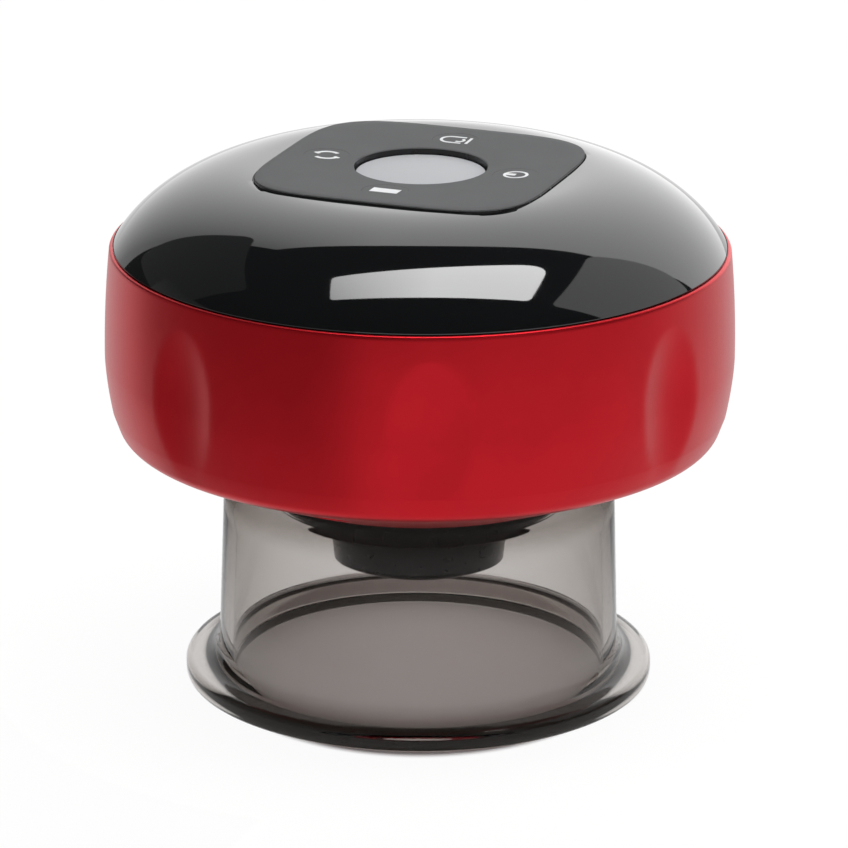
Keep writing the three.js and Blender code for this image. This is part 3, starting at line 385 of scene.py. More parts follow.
def smoked_cup():
    material = finish_of("smoked_cup", colour=(1.0, 1.0, 1.0), shade=0.97, patch=20 * MM,
                         roughness=(0.01, 0.03), grain=4 * MM, depth=0.001 * MM,
                         Transmission_Weight=1.0, IOR=BEND_LOW)
    tree = material.node_tree
    shader = tree.nodes["Principled BSDF"]
    output = tree.nodes["Material Output"]
    place = tree.nodes.new("ShaderNodeTexCoord").outputs["Object"]
    height = tree.nodes.new("ShaderNodeSeparateXYZ")
    tree.links.new(place, height.inputs["Vector"])
    bend = add_range(tree, height.outputs["Z"], BEND_LOW, BEND_HIGH, BEND_START, BEND_END)
    tree.links.new(bend, shader.inputs["IOR"])
    absorption = tree.nodes.new("ShaderNodeVolumeAbsorption")
    absorption.inputs["Color"].default_value = SMOKE_COLOUR
    absorption.inputs["Density"].default_value = SMOKE_DENSITY
    tree.links.new(absorption.outputs["Volume"], output.inputs["Volume"])
    clear = tree.nodes.new("ShaderNodeBsdfTransparent")
    clear.inputs["Color"].default_value = SHADOW_COLOUR
    rays = tree.nodes.new("ShaderNodeLightPath")
    choice = tree.nodes.new("ShaderNodeMixShader")
    tree.links.new(rays.outputs["Is Shadow Ray"], choice.inputs["Fac"])
    tree.links.new(shader.outputs["BSDF"], choice.inputs[1])
    tree.links.new(clear.outputs["BSDF"], choice.inputs[2])
    tree.links.new(choice.outputs["Shader"], output.inputs["Surface"])
    return material


FINISHES = {
    make.__name__: make()
    for make in (
        red_lacquer, gloss_black, panel_grey, display_grey, ink_white, black_plastic,
        white_plastic, seal_rubber, silicone, red_lens, steel, filter_foam,
        battery_wrap, lead_jacket, copper_wire, circuit_board, smoked_cup,
    )
}


def paint(piece, *names):
    piece.data.materials.clear()
    for name in names:
        piece.data.materials.append(FINISHES[name])


# Suction cup
MOUTH_RADIUS = 27.3 * MM
CUP_WALL = 1.7 * MM
SHOULDER_RADIUS = 26.6 * MM
SHOULDER_ROUND = 3.2 * MM
CEILING_HEIGHT = 27 * MM
CEILING_THICKNESS = 2.4 * MM
CUP_SHOULDER_ROUND = 2 * MM
NECK_BORE = 22.1 * MM
NECK_WALL = 2 * MM
NECK_EDGE = 0.4 * MM
FLANGE_THICKNESS = 3 * MM
FLANGE_ROUND = 1 * MM
FLANGE_FILLET = 2.4 * MM
MOUTH_ROUND = 0.8 * MM


def suction_cup():
    flange = CUP_HIGH.x
    outer_mouth = MOUTH_RADIUS + CUP_WALL
    outer_shoulder = SHOULDER_RADIUS + CUP_WALL
    outer_top = CEILING_HEIGHT + CEILING_THICKNESS
    neck = NECK_BORE + NECK_WALL
    top = CUP_HIGH.z
    profile = [
        *arc(MOUTH_RADIUS + MOUTH_ROUND, MOUTH_ROUND, MOUTH_ROUND, 0.5, 0.75),
        *arc(flange - FLANGE_ROUND, FLANGE_ROUND, FLANGE_ROUND, -0.25, 0),
        *arc(flange - FLANGE_ROUND, FLANGE_THICKNESS - FLANGE_ROUND, FLANGE_ROUND, 0, 0.25),
        *arc(outer_mouth + FLANGE_FILLET, FLANGE_THICKNESS + FLANGE_FILLET, FLANGE_FILLET, 0.75, 0.5),
        *arc(outer_shoulder - CUP_SHOULDER_ROUND, outer_top - CUP_SHOULDER_ROUND, CUP_SHOULDER_ROUND,
             0, 0.25),
        (neck, outer_top),
        *arc(neck - NECK_EDGE, top - NECK_EDGE, NECK_EDGE, 0, 0.25, EDGE_STEPS),
        *arc(NECK_BORE + NECK_EDGE, top - NECK_EDGE, NECK_EDGE, 0.25, 0.5, EDGE_STEPS),
        (NECK_BORE, CEILING_HEIGHT),
        *arc(SHOULDER_RADIUS - SHOULDER_ROUND, CEILING_HEIGHT - SHOULDER_ROUND, SHOULDER_ROUND, 0.25, 0),
    ]
    piece = turned("clear_cup", profile, closed=True)
    paint(piece, "smoked_cup")
    return stands_for(piece, "cup", "smoked_cup", "suction_cup")


# Red lower shell: a bulged side over a shallow bowl, with a recess for the cup's neck in its middle
SHELL_WALL = 2 * MM
SHELL_FLOOR = 2.2 * MM
HUB_HEIGHT = CUP_HIGH.z + RUN_GAP
BELLY_RADIUS = SHELL_HIGH.x
BELLY_RISE = 12.9 * MM
BELLY_HEIGHT = HUB_HEIGHT + BELLY_RISE
BELLY_POWER = 1.6
SEAM_DROP = 0.8 * MM
SEAM_ROUND = 0.3 * MM
SEAM_RADIUS = BELLY_RADIUS - SEAM_DROP
CREASE_RISE = 4.9 * MM
CREASE_HEIGHT = HUB_HEIGHT + CREASE_RISE
CREASE_INSET = 1 * MM
BAND_HEIGHT = 2.2 * MM
BAND_INSET = 0.8 * MM
BAND_LEAN = math.atan2(BAND_INSET, BAND_HEIGHT)
FOOT_ROUND = 2.6 * MM
FOOT_SLOPE = math.radians(22)
FOOT_CENTRE = BELLY_RADIUS - CREASE_INSET - BAND_INSET - FOOT_ROUND * math.cos(BAND_LEAN)
FOOT_HEIGHT = CREASE_HEIGHT - BAND_HEIGHT + FOOT_ROUND * math.sin(BAND_LEAN)
RECESS_RADIUS = NECK_BORE + NECK_WALL + FIT_GAP
RECESS_EDGE = 0.4 * MM
RIM_WIDTH = 1.8 * MM
SPIGOT_RADIUS = 18 * MM
SIDE_STEPS = 60
SHELL_STEPS = 336

# Finger hollows in the shell's side
GRIP_COUNT = 6
GRIP_PITCH = math.radians(48.9)
GRIP_MIDDLE = math.radians(-92.2)
GRIP_DEPTH = 1.4 * MM
GRIP_POWER = 1.3
GRIP_HALF_WIDTH = 6.1 * MM
GRIP_HALF_HEIGHT = 11 * MM
GRIP_RISE = 14.2 * MM
GRIP_HEIGHT = HUB_HEIGHT + GRIP_RISE

# Screw bosses in the shell, with wells from below
SCREW_ANGLES = (30, 150, 270)
SCREW_INSET = 10.2 * MM
CASE_SCREW_CIRCLE = BELLY_RADIUS - SCREW_INSET
WELL_RADIUS = 2.5 * MM
WELL_RISE = 13.8 * MM
WELL_HEIGHT = HUB_HEIGHT + WELL_RISE
BOSS_RADIUS = 3.6 * MM
BOSS_RISE = 21.8 * MM
BOSS_HEIGHT = HUB_HEIGHT + BOSS_RISE
HOLE_RADIUS = 1.4 * MM


def side_radius(height):
    """The shell's outer radius above its crease."""
    rise = height - BELLY_HEIGHT
    if rise > 0:
        return BELLY_RADIUS - SEAM_DROP * (rise / (SHELL_HIGH.z - BELLY_HEIGHT)) ** 2
    return BELLY_RADIUS - CREASE_INSET * (-rise / (BELLY_HEIGHT - CREASE_HEIGHT)) ** BELLY_POWER


def slope_height(radius, inset):
    """Height of the bowl under the shell, inset from the outer face."""
    size = FOOT_ROUND - inset
    start = FOOT_CENTRE + size * math.sin(FOOT_SLOPE)
    return FOOT_HEIGHT - size * math.cos(FOOT_SLOPE) - (start - radius) * math.tan(FOOT_SLOPE)


def shell_side(inset, top):
    """The shell's side from its foot up, inset from the outer face."""
    flat = (FOOT_SLOPE - math.pi / 2) / (2 * math.pi)
    points = arc(FOOT_CENTRE, FOOT_HEIGHT, FOOT_ROUND - inset, flat, -BAND_LEAN / (2 * math.pi))
    for i in range(SIDE_STEPS + 1):
        height = CREASE_HEIGHT + (top - CREASE_HEIGHT) * i / SIDE_STEPS
        points.append((side_radius(height) - inset, height))
    return points


def grip_sink(turn, radius, height):
    """How far the finger hollows sink the side here."""
    along = (height - GRIP_HEIGHT) / GRIP_HALF_HEIGHT
    sink = 0.0
    for place in range(GRIP_COUNT):
        away = turn - GRIP_MIDDLE - (place - (GRIP_COUNT - 1) / 2) * GRIP_PITCH
        away = math.atan2(math.sin(away), math.cos(away))
        across = away * radius / GRIP_HALF_WIDTH
        inside = max(0.0, 1 - across ** 2 - along ** 2)
        sink += GRIP_DEPTH * inside ** GRIP_POWER
    return sink


def gripped(radius, height):
    """A ring of the shell's outer face, with its finger hollows."""
    ring = []
    for i in range(SHELL_STEPS):
        turn = 2 * math.pi * i / SHELL_STEPS
        held = radius - grip_sink(turn, radius, height)
        ring.append((held * math.cos(turn), held * math.sin(turn), height))
    return ring


def screw_boss(x, y):
    """A post whose foot follows the middle of the sloped floor."""
    foot = []
    for px, py, _ in circle(BOSS_RADIUS, 0, SMALL_STEPS, x, y):
        foot.append((px, py, slope_height(math.hypot(px, py), SHELL_WALL / 2)))
    return loft("boss", [foot, circle(BOSS_RADIUS, BOSS_HEIGHT, SMALL_STEPS, x, y)], False)


def lower_shell():
    hole = SPIGOT_RADIUS + FIT_GAP
    hub = RECESS_RADIUS + SHELL_WALL
    rim = RECESS_RADIUS + RIM_WIDTH
    low = SHELL_LOW.z
    turn_in = SHELL_HIGH.z - SEAM_ROUND
    outer = [
        (hole, HUB_HEIGHT),
        (RECESS_RADIUS, HUB_HEIGHT),
        *arc(RECESS_RADIUS + RECESS_EDGE, low + RECESS_EDGE, RECESS_EDGE, 0.5, 0.75, SEAM_STEPS),
        (rim, low),
        *shell_side(0, turn_in),
        *arc(SEAM_RADIUS - SEAM_ROUND, turn_in, SEAM_ROUND, 0, 0.25, SEAM_STEPS)[1:],
    ]
    inner = [
        *shell_side(SHELL_WALL, SHELL_HIGH.z)[::-1],
        (hub, slope_height(hub, SHELL_WALL)),
        (hub, HUB_HEIGHT + SHELL_FLOOR),
        (hole, HUB_HEIGHT + SHELL_FLOOR),
    ]
    rings = [gripped(radius, height) for radius, height in outer]
    rings += [circle(radius, height, SHELL_STEPS) for radius, height in inner]
    piece = loft("red_shell", rings, closed=True)
    bosses, wells = [], []
    for angle in SCREW_ANGLES:
        x, y = on_circle(CASE_SCREW_CIRCLE, angle)
        bosses.append(screw_boss(x, y))
        wells.append(post(WELL_RADIUS, low - OVERRUN, WELL_HEIGHT, x, y))
        wells.append(post(HOLE_RADIUS, WELL_HEIGHT - OVERRUN, BOSS_HEIGHT + OVERRUN, x, y))
    combine(piece, bosses, "UNION")
    combine(piece, wells + socket_cutters(), "DIFFERENCE")
    paint(piece, "red_lacquer")
    return stands_for(piece, "head", "red_lacquer", "lower_shell")


# Charging slot at the back
SOCKET_WIDTH = 8.94 * MM
SOCKET_THICKNESS = 3.26 * MM
SOCKET_RIM_WIDTH = 1.4 * MM
SOCKET_RIM_DEPTH = 0.5 * MM
SOCKET_HEIGHT = (SOCKET_LOW.z + SOCKET_HIGH.z) / 2
SLOT_ROUND_STEPS = 16


def slot_bar(width, thickness, start, end):
    """A bar with round ends that runs along Y."""
    reach = (width - thickness) / 2
    outline = []
    for side in (1, -1):
        for i in range(SLOT_ROUND_STEPS + 1):
            angle = (i / SLOT_ROUND_STEPS - 1 / 2) * math.pi
            x = side * (reach + thickness / 2 * math.cos(angle))
            outline.append((x, SOCKET_HEIGHT + side * thickness / 2 * math.sin(angle)))
    return loft("slot", [[(x, y, z) for x, z in outline] for y in (end, start)], closed=False)


def socket_cutters():
    face = side_radius(SOCKET_HEIGHT)
    slot = slot_bar(SOCKET_WIDTH + 2 * FIT_GAP, SOCKET_THICKNESS + 2 * FIT_GAP,
                    face - SHELL_WALL - OVERRUN, face + OVERRUN)
    rim = slot_bar(SOCKET_WIDTH + 2 * SOCKET_RIM_WIDTH, SOCKET_THICKNESS + 2 * SOCKET_RIM_WIDTH,
                   face - SOCKET_RIM_DEPTH, face + OVERRUN)
    return [slot, rim]


# Black dome with the panel's recess
DOME_RIM_HEIGHT = SHELL_HIGH.z + RUN_GAP
DOME_RIM_INSET = 0.5 * MM
DOME_RIM_RADIUS = SEAM_RADIUS - DOME_RIM_INSET
DOME_RIM_ROUND = 0.2 * MM
CROWN_RADIUS = 23 * MM
DOME_REACH_SHARE = 0.919
DOME_POWER = 1.8
DOME_WALL = 3 * MM
DOME_SIDE_WALL = 2.2 * MM
DOME_STEPS = 36
SKIRT_GAP = 0.2 * MM
SKIRT_RADIUS = SEAM_RADIUS - SHELL_WALL - SKIRT_GAP
SKIRT_WALL = 1.4 * MM
RECESS_DEPTH = 1 * MM
RECESS_ROUND = 0.08 * MM
PANEL_GAP = 0.12 * MM
PANEL_POWER = 4.28
LEDGE_WIDTH = 1 * MM
STEM_HOLE = 1.6 * MM
KEY_ANGLES = {"level": -90, "mode": 180, "timer": 0, "heat": 90}
KEY_CIRCLE = 14.3 * MM
DISPLAY_RADIUS = 9.5 * MM


def dome_height(radius, crown_radius, rim_radius, top, rim):
    """Height of a surface that is flat to its crown and falls ever steeper to its rim."""
    share = max(radius - crown_radius, 0) / (rim_radius - crown_radius)

    def fall(reach):
        return (1 - (min(reach, 1) * DOME_REACH_SHARE) ** DOME_POWER) ** (1 / DOME_POWER)

    return top - (top - rim) * (1 - fall(share)) / (1 - fall(1))


def panel_outline(offset, height):
    """The keypad's outline, a square with full rounds, moved out by an offset."""
    points = []
    for i in range(ROUND_STEPS):
        angle = 2 * math.pi * i / ROUND_STEPS
        c, s = math.cos(angle), math.sin(angle)
        reach = (abs(c) ** PANEL_POWER + abs(s) ** PANEL_POWER) ** (-1 / PANEL_POWER)
        points.append(((PANEL_HIGH.x + offset) * c * reach, (PANEL_HIGH.y + offset) * s * reach, height))
    return points


def outer_dome():
    """Rings from the panel's recess out to the dome's rim."""
    rings = []
    for i in range(DOME_STEPS + 1):
        share = math.sin(math.pi / 2 * i / DOME_STEPS)
        ring = []
        for x, y, _ in panel_outline(PANEL_GAP + RECESS_ROUND, 0):
            start = math.hypot(x, y)
            radius = start + (DOME_RIM_RADIUS - start) * share
            height = dome_height(radius, CROWN_RADIUS, DOME_RIM_RADIUS, DOME_HIGH.z, DOME_RIM_HEIGHT)
            if i == DOME_STEPS:
                height += DOME_RIM_ROUND
            ring.append((x / start * radius, y / start * radius, height))
        rings.append(ring)
    return rings


def inner_dome(cavity_rim, inner_top):
    """Rings from the cavity's rim in to its ceiling."""
    rings = []
    crown = CROWN_RADIUS - DOME_SIDE_WALL
    for i in range(DOME_STEPS + 1):
        radius = crown + (cavity_rim - crown) * math.sin(math.pi / 2 * (1 - i / DOME_STEPS))
        rings.append(circle(radius, dome_height(radius, crown, cavity_rim, inner_top, DOME_RIM_HEIGHT)))
    return rings


def dome_cover():
    floor = DOME_HIGH.z - RECESS_DEPTH
    inner_top = DOME_HIGH.z - DOME_WALL
    cavity_rim = SKIRT_RADIUS - SKIRT_WALL
    ledge = WINDOW_LOW.z - RUN_GAP
    ledge_bore = DISPLAY_RADIUS - LEDGE_WIDTH
    rings = [
        *outer_dome(),
        circle(DOME_RIM_RADIUS - DOME_RIM_ROUND / 2, DOME_RIM_HEIGHT),
        circle(SKIRT_RADIUS, DOME_RIM_HEIGHT),
        circle(SKIRT_RADIUS, DOME_LOW.z),
        circle(cavity_rim, DOME_LOW.z),
        *inner_dome(cavity_rim, inner_top),
        circle(ledge_bore, inner_top),
        circle(ledge_bore, ledge),
        circle(DISPLAY_RADIUS, ledge),
        circle(DISPLAY_RADIUS, floor),
        panel_outline(PANEL_GAP, floor),
        panel_outline(PANEL_GAP, DOME_HIGH.z - 2 * RECESS_ROUND),
    ]
    piece = loft("gloss_dome", rings[::-1], closed=True)
    holes = []
    for angle in KEY_ANGLES.values():
        x, y = on_circle(KEY_CIRCLE, angle)
        holes.append(post(STEM_HOLE, inner_top - OVERRUN, floor + OVERRUN / 2, x, y))
    combine(piece, holes, "DIFFERENCE")
    paint(piece, "gloss_black")
    return stands_for(piece, "head", "gloss_black", "dome_cover")


# Keypad panel, slightly dished, with its display window and keys
PANEL_EDGE = 0.25 * MM
PANEL_STEPS = 10
# Faces whose normal rises less than this take the dark finish: painted shade on the panel's sides and
# hole walls
PAINTED_SHADE_LEAN = 0.3
DISH_DEPTH = 0.4 * MM
DISH_RADIUS = PANEL_HIGH.y
KEY_RADIUS = 3.3 * MM
KEY_SEAM = 0.015 * MM
KEY_SINK = 0.01 * MM
KEY_CAP = 0.5 * MM
KEY_RING_SHARES = (1, 2 / 3, 1 / 3)
STEM_RADIUS = 1.4 * MM
WINDOW_EDGE = 0.15 * MM


def panel_top(x, y):
    """Height of the dished panel's face."""
    share = min(math.hypot(x, y) / DISH_RADIUS, 1)
    return PANEL_HIGH.z - DISH_DEPTH * (1 - share ** 2) ** 2


def dished(ring, drop):
    return [(x, y, panel_top(x, y) - drop) for x, y, _ in ring]


def control_panel():
    """A grey face on edges painted dark, as painted shade on its sides. The edges are the faces that lean
    past a limit.
    """
    low = PANEL_LOW.z
    soft = PANEL_EDGE / 3
    face = panel_outline(-PANEL_EDGE, 0)
    hole = circle(DISPLAY_RADIUS + PANEL_EDGE / 2, 0)
    rings = [
        panel_outline(0, low),
        dished(panel_outline(0, 0), PANEL_EDGE),
        dished(panel_outline(-soft, 0), soft),
    ]
    for i in range(PANEL_STEPS + 1):
        share = i / PANEL_STEPS
        pairs = zip(face, hole)
        ring = [(a[0] + (b[0] - a[0]) * share, a[1] + (b[1] - a[1]) * share, 0) for a, b in pairs]
        rings.append(dished(ring, 0))
    rings.append(dished(circle(DISPLAY_RADIUS, 0), PANEL_EDGE / 2))
    rings.append(circle(DISPLAY_RADIUS, low))
    piece = loft("keypad_panel", rings, closed=True)
    holes = []
    key_hole = KEY_RADIUS + KEY_SEAM
    for angle in KEY_ANGLES.values():
        x, y = on_circle(KEY_CIRCLE, angle)
        holes.append(post(key_hole, low - OVERRUN, PANEL_HIGH.z + OVERRUN, x, y, KEY_STEPS))
    combine(piece, holes, "DIFFERENCE")
    paint(piece, "panel_grey", "black_plastic")
    # Faces that lean past the limit take the dark finish: painted shade on the panel's edges and on its
    # hole walls
    for polygon in piece.data.polygons:
        polygon.material_index = 0 if polygon.normal.z > PAINTED_SHADE_LEAN else 1
    return stands_for(piece, "head", "panel_grey", "control_panel")


def display_window():
    radius = WINDOW_HIGH.x
    profile = [
        (radius, WINDOW_LOW.z),
        *arc(radius - WINDOW_EDGE, WINDOW_HIGH.z - WINDOW_EDGE, WINDOW_EDGE, 0, 0.25, EDGE_STEPS),
    ]
    piece = turned("display_disc", profile)
    paint(piece, "display_grey")
    return stands_for(piece, "head", "display_grey", "display_window")


def key(name):
    x, y = on_circle(KEY_CIRCLE, KEY_ANGLES[name])
    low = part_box("key_" + name)[0].z
    cap_low = DOME_HIGH.z - RECESS_DEPTH + KEY_CAP
    rings = [
        circle(STEM_RADIUS, low, KEY_STEPS, x, y),
        circle(STEM_RADIUS, cap_low, KEY_STEPS, x, y),
        circle(KEY_RADIUS, cap_low, KEY_STEPS, x, y),
    ]
    for share in KEY_RING_SHARES:
        rings.append(dished(circle(KEY_RADIUS * share, 0, KEY_STEPS, x, y), KEY_SINK))
    piece = loft("keycap_" + name, rings, closed=False)
    paint(piece, "panel_grey")
    return stands_for(piece, name + "_key", "panel_grey", "key_" + name)


# Key symbols: a bar, two chasing arrows, a dial and a rounded loop with a stroke
MARK_THICKNESS = 0.03 * MM
MARK_PROUD = 0.01 * MM
MARK_WIDTH = 0.42 * MM
MARK_CORNERS = 4
CURVE_STEPS = 20
LINE_STEPS = 8
BAR_LENGTH = 4.1 * MM
BAR_WIDTH = 2.1 * MM
RING_SIZE = 1.75 * MM
ARROW_STARTS = (50, 230)
ARROW_SWEEP = 105
ARROW_BARB = 0.95 * MM
ARROW_WIDTH = 0.58 * MM
DIAL_SIZE = 1.6 * MM
DIAL_SWEEP = 345
DIAL_STEPS = 47
DIAL_HAND = 0.9 * MM
LOOP_SIZE = 1.4 * MM
LOOP_REACH = 1.3 * MM
HOOK_START = 60
HOOK_END = -120
HOOK_STEPS = 12
STROKE_REACH = 2.1 * MM


def ribbon(points, width, closed):
    """Left and right edges of a flat stroke along points."""
    edges = []
    count = len(points)
    for i, (x, y) in enumerate(points):
        before = points[i - 1] if closed or i > 0 else points[i]
        after = points[(i + 1) % count] if closed or i < count - 1 else points[i]
        along = Vector((after[0] - before[0], after[1] - before[1])).normalized()
        side = Vector((-along.y, along.x)) * width / 2
        edges.append(((x + side.x, y + side.y), (x - side.x, y - side.y)))
    return edges


def mark(name, strokes):
    """Printed lines on a key: each stroke is its points, its width and whether it closes on itself."""
    key_x, key_y = on_circle(KEY_CIRCLE, KEY_ANGLES[name])
    points, faces = [], []
    for line, width, closed in strokes:
        edges = ribbon(line, width, closed)
        base = len(points)
        for left, right in edges:
            for (x, y), drop in ((left, MARK_THICKNESS), (right, MARK_THICKNESS), (right, 0), (left, 0)):
                height = panel_top(key_x + x, key_y + y) + MARK_PROUD - drop
                points.append((key_x + x, key_y + y, height))
        spans = len(edges) if closed else len(edges) - 1
        for i in range(spans):
            here = base + MARK_CORNERS * i
            there = base + MARK_CORNERS * ((i + 1) % len(edges))
            for j in range(MARK_CORNERS):
                k = (j + 1) % MARK_CORNERS
                faces.append((here + j, there + j, there + k, here + k))
        if not closed:
            end = base + MARK_CORNERS * (len(edges) - 1)
            faces.append(tuple(base + j for j in range(MARK_CORNERS)))
            faces.append(tuple(end + j for j in reversed(range(MARK_CORNERS))))
    piece = make_piece("mark_" + name, points, faces)
    paint(piece, "ink_white")
    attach(piece, name + "_key")
    return piece


def curve_line(radius, start, end, steps=CURVE_STEPS, x=0.0):
    """Points round a centre at x, from one angle in degrees to another."""
    points = []
    for i in range(steps + 1):
        angle = math.radians(start + (end - start) * i / steps)
        points.append((x + radius * math.cos(angle), radius * math.sin(angle)))
    return points


def straight(start, end):
    points = []
    for i in range(LINE_STEPS + 1):
        points.append(tuple(a + (b - a) * i / LINE_STEPS for a, b in zip(start, end)))
    return points


def bar_mark():
    mark("level", [(straight((-BAR_LENGTH / 2, 0), (BAR_LENGTH / 2, 0)), BAR_WIDTH, False)])


def arrows_mark():
    """Two arcs that chase each other, each with a wider head past its end."""
    arrows = []
    for start in ARROW_STARTS:
        line = curve_line(RING_SIZE, start, start + ARROW_SWEEP)
        tip = Vector(line[-1])
        onward = (tip - Vector(line[-2])).normalized()
        head = [tuple(tip), tuple(tip + onward * ARROW_BARB / 2)]
        arrows.append((line, ARROW_WIDTH, False))
        arrows.append((head, ARROW_BARB, False))
    mark("mode", arrows)


def dial_mark():
    dial = curve_line(DIAL_SIZE, 0, DIAL_SWEEP, DIAL_STEPS)
    hand = straight((0, 0), (-DIAL_SIZE, 0))
    mark("timer", [(dial, MARK_WIDTH, True), (hand, DIAL_HAND, False)])


def loop_mark():
    middle = LOOP_REACH / 2
    loop = straight((LOOP_REACH, LOOP_SIZE), (-middle, LOOP_SIZE))
    loop += curve_line(LOOP_SIZE, 90, 270, x=-middle)[1:]
    loop += straight((-middle, -LOOP_SIZE), (LOOP_REACH, -LOOP_SIZE))[1:]
    hook = curve_line(LOOP_SIZE / 2, HOOK_START, HOOK_END, HOOK_STEPS, middle)
    stroke = straight((STROKE_REACH, -LOOP_SIZE), (STROKE_REACH, LOOP_SIZE))
    mark("heat", [(loop, MARK_WIDTH, False), (hook, MARK_WIDTH, False), (stroke, MARK_WIDTH, False)])


# Connector, its ring, the nozzle and its lens
COLLAR_RADIUS = 21.8 * MM
COLLAR_EDGE = 0.5 * MM
SPIGOT_RISE = 2.1 * MM
COLLAR_SHOULDER = HUB_HEIGHT - RUN_GAP
GROOVE_HALF = 1.3 * MM
GROOVE_RADIUS = 19.7 * MM
NOZZLE_RADIUS = 12.15 * MM
NOZZLE_WALL = 1.6 * MM
NOZZLE_ROUND = 1.2 * MM
NOZZLE_LIP = 2 * MM
LENS_LIP = 1.5 * MM
LENS_EDGE = 0.2 * MM
LENS_SEAT = 4.8 * MM
CABLE_PASSAGE = 4 * MM
BARB_RADIUS = 1.5 * MM
BARB_BORE = 0.8 * MM
SUCTION_PLACE = (16 * MM, 3 * MM)
SUCTION_BORE = 1.5 * MM
FILTER_POCKET = 2.7 * MM
COLLAR_PILOT = 1.3 * MM
COLLAR_SCREW_CIRCLE = 14 * MM


def collar():
    low = COLLAR_LOW.z
    ring = (RING_LOW.z + RING_HIGH.z) / 2
    spigot_top = HUB_HEIGHT + SPIGOT_RISE
    seat_radius = NOZZLE_RADIUS + RUN_GAP
    seat_top = NOZZLE_HIGH.z + RUN_GAP
    profile = [
        (seat_radius, low),
        *arc(COLLAR_RADIUS - COLLAR_EDGE, low + COLLAR_EDGE, COLLAR_EDGE, -0.25, 0, COLLAR_EDGE_STEPS),
        (COLLAR_RADIUS, ring - GROOVE_HALF),
        (GROOVE_RADIUS, ring - GROOVE_HALF),
        (GROOVE_RADIUS, ring + GROOVE_HALF),
        (COLLAR_RADIUS, ring + GROOVE_HALF),
        (COLLAR_RADIUS, COLLAR_SHOULDER),
        (SPIGOT_RADIUS, COLLAR_SHOULDER),
        (SPIGOT_RADIUS, spigot_top),
        (CABLE_PASSAGE, spigot_top),
        (CABLE_PASSAGE, seat_top),
        (seat_radius, seat_top),
    ]
    piece = turned("cup_connector", profile, closed=True)
    x, y = SUCTION_PLACE
    combine(piece, [post(BARB_RADIUS, spigot_top - SPIGOT_RISE / 4, COLLAR_HIGH.z, x, y)], "UNION")
    filter_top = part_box("air_filter")[1].z + RUN_GAP
    holes = [
        post(FILTER_POCKET, low - OVERRUN, filter_top, x, y),
        post(SUCTION_BORE, low, COLLAR_SHOULDER, x, y),
        post(BARB_BORE, low, COLLAR_HIGH.z + OVERRUN, x, y),
    ]
    for number, angle in enumerate(SCREW_ANGLES, 1):
        x, y = on_circle(COLLAR_SCREW_CIRCLE, angle)
        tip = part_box(f"collar_screw_{number}")[0].z - FIT_GAP
        holes.append(post(COLLAR_PILOT, tip, spigot_top + OVERRUN, x, y))
    combine(piece, holes, "DIFFERENCE")
    paint(piece, "black_plastic")
    return stands_for(piece, "head", "black_plastic", "collar")


def seal_ring():
    section = (RING_HIGH.z - RING_LOW.z) / 2
    centre = RING_HIGH.x - section
    profile = arc(centre, RING_LOW.z + section, section, 0, 1, RING_SECTION_STEPS)[:-1]
    piece = turned("sealing_ring", profile, closed=True)
    paint(piece, "seal_rubber")
    return stands_for(piece, "head", "seal_rubber", "collar_seal_ring")


def nozzle():
    low, high = NOZZLE_LOW.z, NOZZLE_HIGH.z
    inner = NOZZLE_RADIUS - NOZZLE_WALL
    opening = LENS_HIGH.x - NOZZLE_LIP / 2
    lens_wall = LENS_HIGH.x + RUN_GAP
    profile = [
        *arc(opening + LENS_EDGE, low + LENS_EDGE, LENS_EDGE, 0.5, 0.75, EDGE_STEPS),
        *arc(NOZZLE_RADIUS - NOZZLE_ROUND, low + NOZZLE_ROUND, NOZZLE_ROUND, 0.75, 1, NOZZLE_ROUND_STEPS),
        (NOZZLE_RADIUS, high),
        (inner, high),
        (inner, low + LENS_SEAT),
        (lens_wall, low + LENS_SEAT),
        (lens_wall, low + LENS_LIP),
        (opening, low + LENS_LIP),
    ]
    piece = turned("heated_nozzle", profile, closed=True)
    paint(piece, "black_plastic")
    return stands_for(piece, "head", "black_plastic", "nozzle")


def heater_lens():
    radius = LENS_HIGH.x
    profile = [
        *arc(radius - LENS_EDGE, LENS_LOW.z + LENS_EDGE, LENS_EDGE, -0.25, 0, EDGE_STEPS),
        *arc(radius - LENS_EDGE, LENS_HIGH.z - LENS_EDGE, LENS_EDGE, 0, 0.25, EDGE_STEPS),
    ]
    piece = turned("lens_disc", profile)
    paint(piece, "red_lens")
    return stands_for(piece, "head", "red_lens", "heater_lens")


def dress_nodes():
    """Each CAD node takes the finish that the record names for it."""
    for part in frame["record"]["subparts"]:
        paint(frame["nodes"][part["node"]], part["material_slot"])


# Camera: the photograph's distance, height and turn
CAMERA_AZIMUTH = 20.2
CAMERA_ELEVATION = 18.37
CAMERA_ROLL = 0.3
CAMERA_DISTANCE = 0.8
CAMERA_LENS = 235.4
SENSOR_WIDTH = 36
AIM_RIGHT = 0.65 * MM
AIM_DOWN = 0.36 * MM
AIM_HEIGHT = 38 * MM
UP = Vector((0, 0, 1))


def toward(azimuth, elevation):
    """The direction from the object at an azimuth counted from the camera's own."""
    turn, rise = math.radians(CAMERA_AZIMUTH + azimuth), math.radians(elevation)
    return Vector((math.sin(turn) * math.cos(rise), -math.cos(turn) * math.cos(rise), math.sin(rise)))


def place_camera():
    data = bpy.data.cameras.new("camera")
    data.lens = CAMERA_LENS
    data.sensor_width = SENSOR_WIDTH
    camera = bpy.data.objects.new("camera", data)
    bpy.context.scene.collection.objects.link(camera)
    back = toward(0, CAMERA_ELEVATION)
    turn = back.to_track_quat("Z", "Y")
    right, up = turn @ Vector((1, 0, 0)), turn @ Vector((0, 1, 0))
    aim = UP * AIM_HEIGHT + right * AIM_RIGHT - up * AIM_DOWN
    camera.location = aim + back * CAMERA_DISTANCE
    camera.rotation_mode = "QUATERNION"
    camera.rotation_quaternion = turn @ Quaternion((0, 0, 1), math.radians(CAMERA_ROLL))
    bpy.context.scene.camera = camera


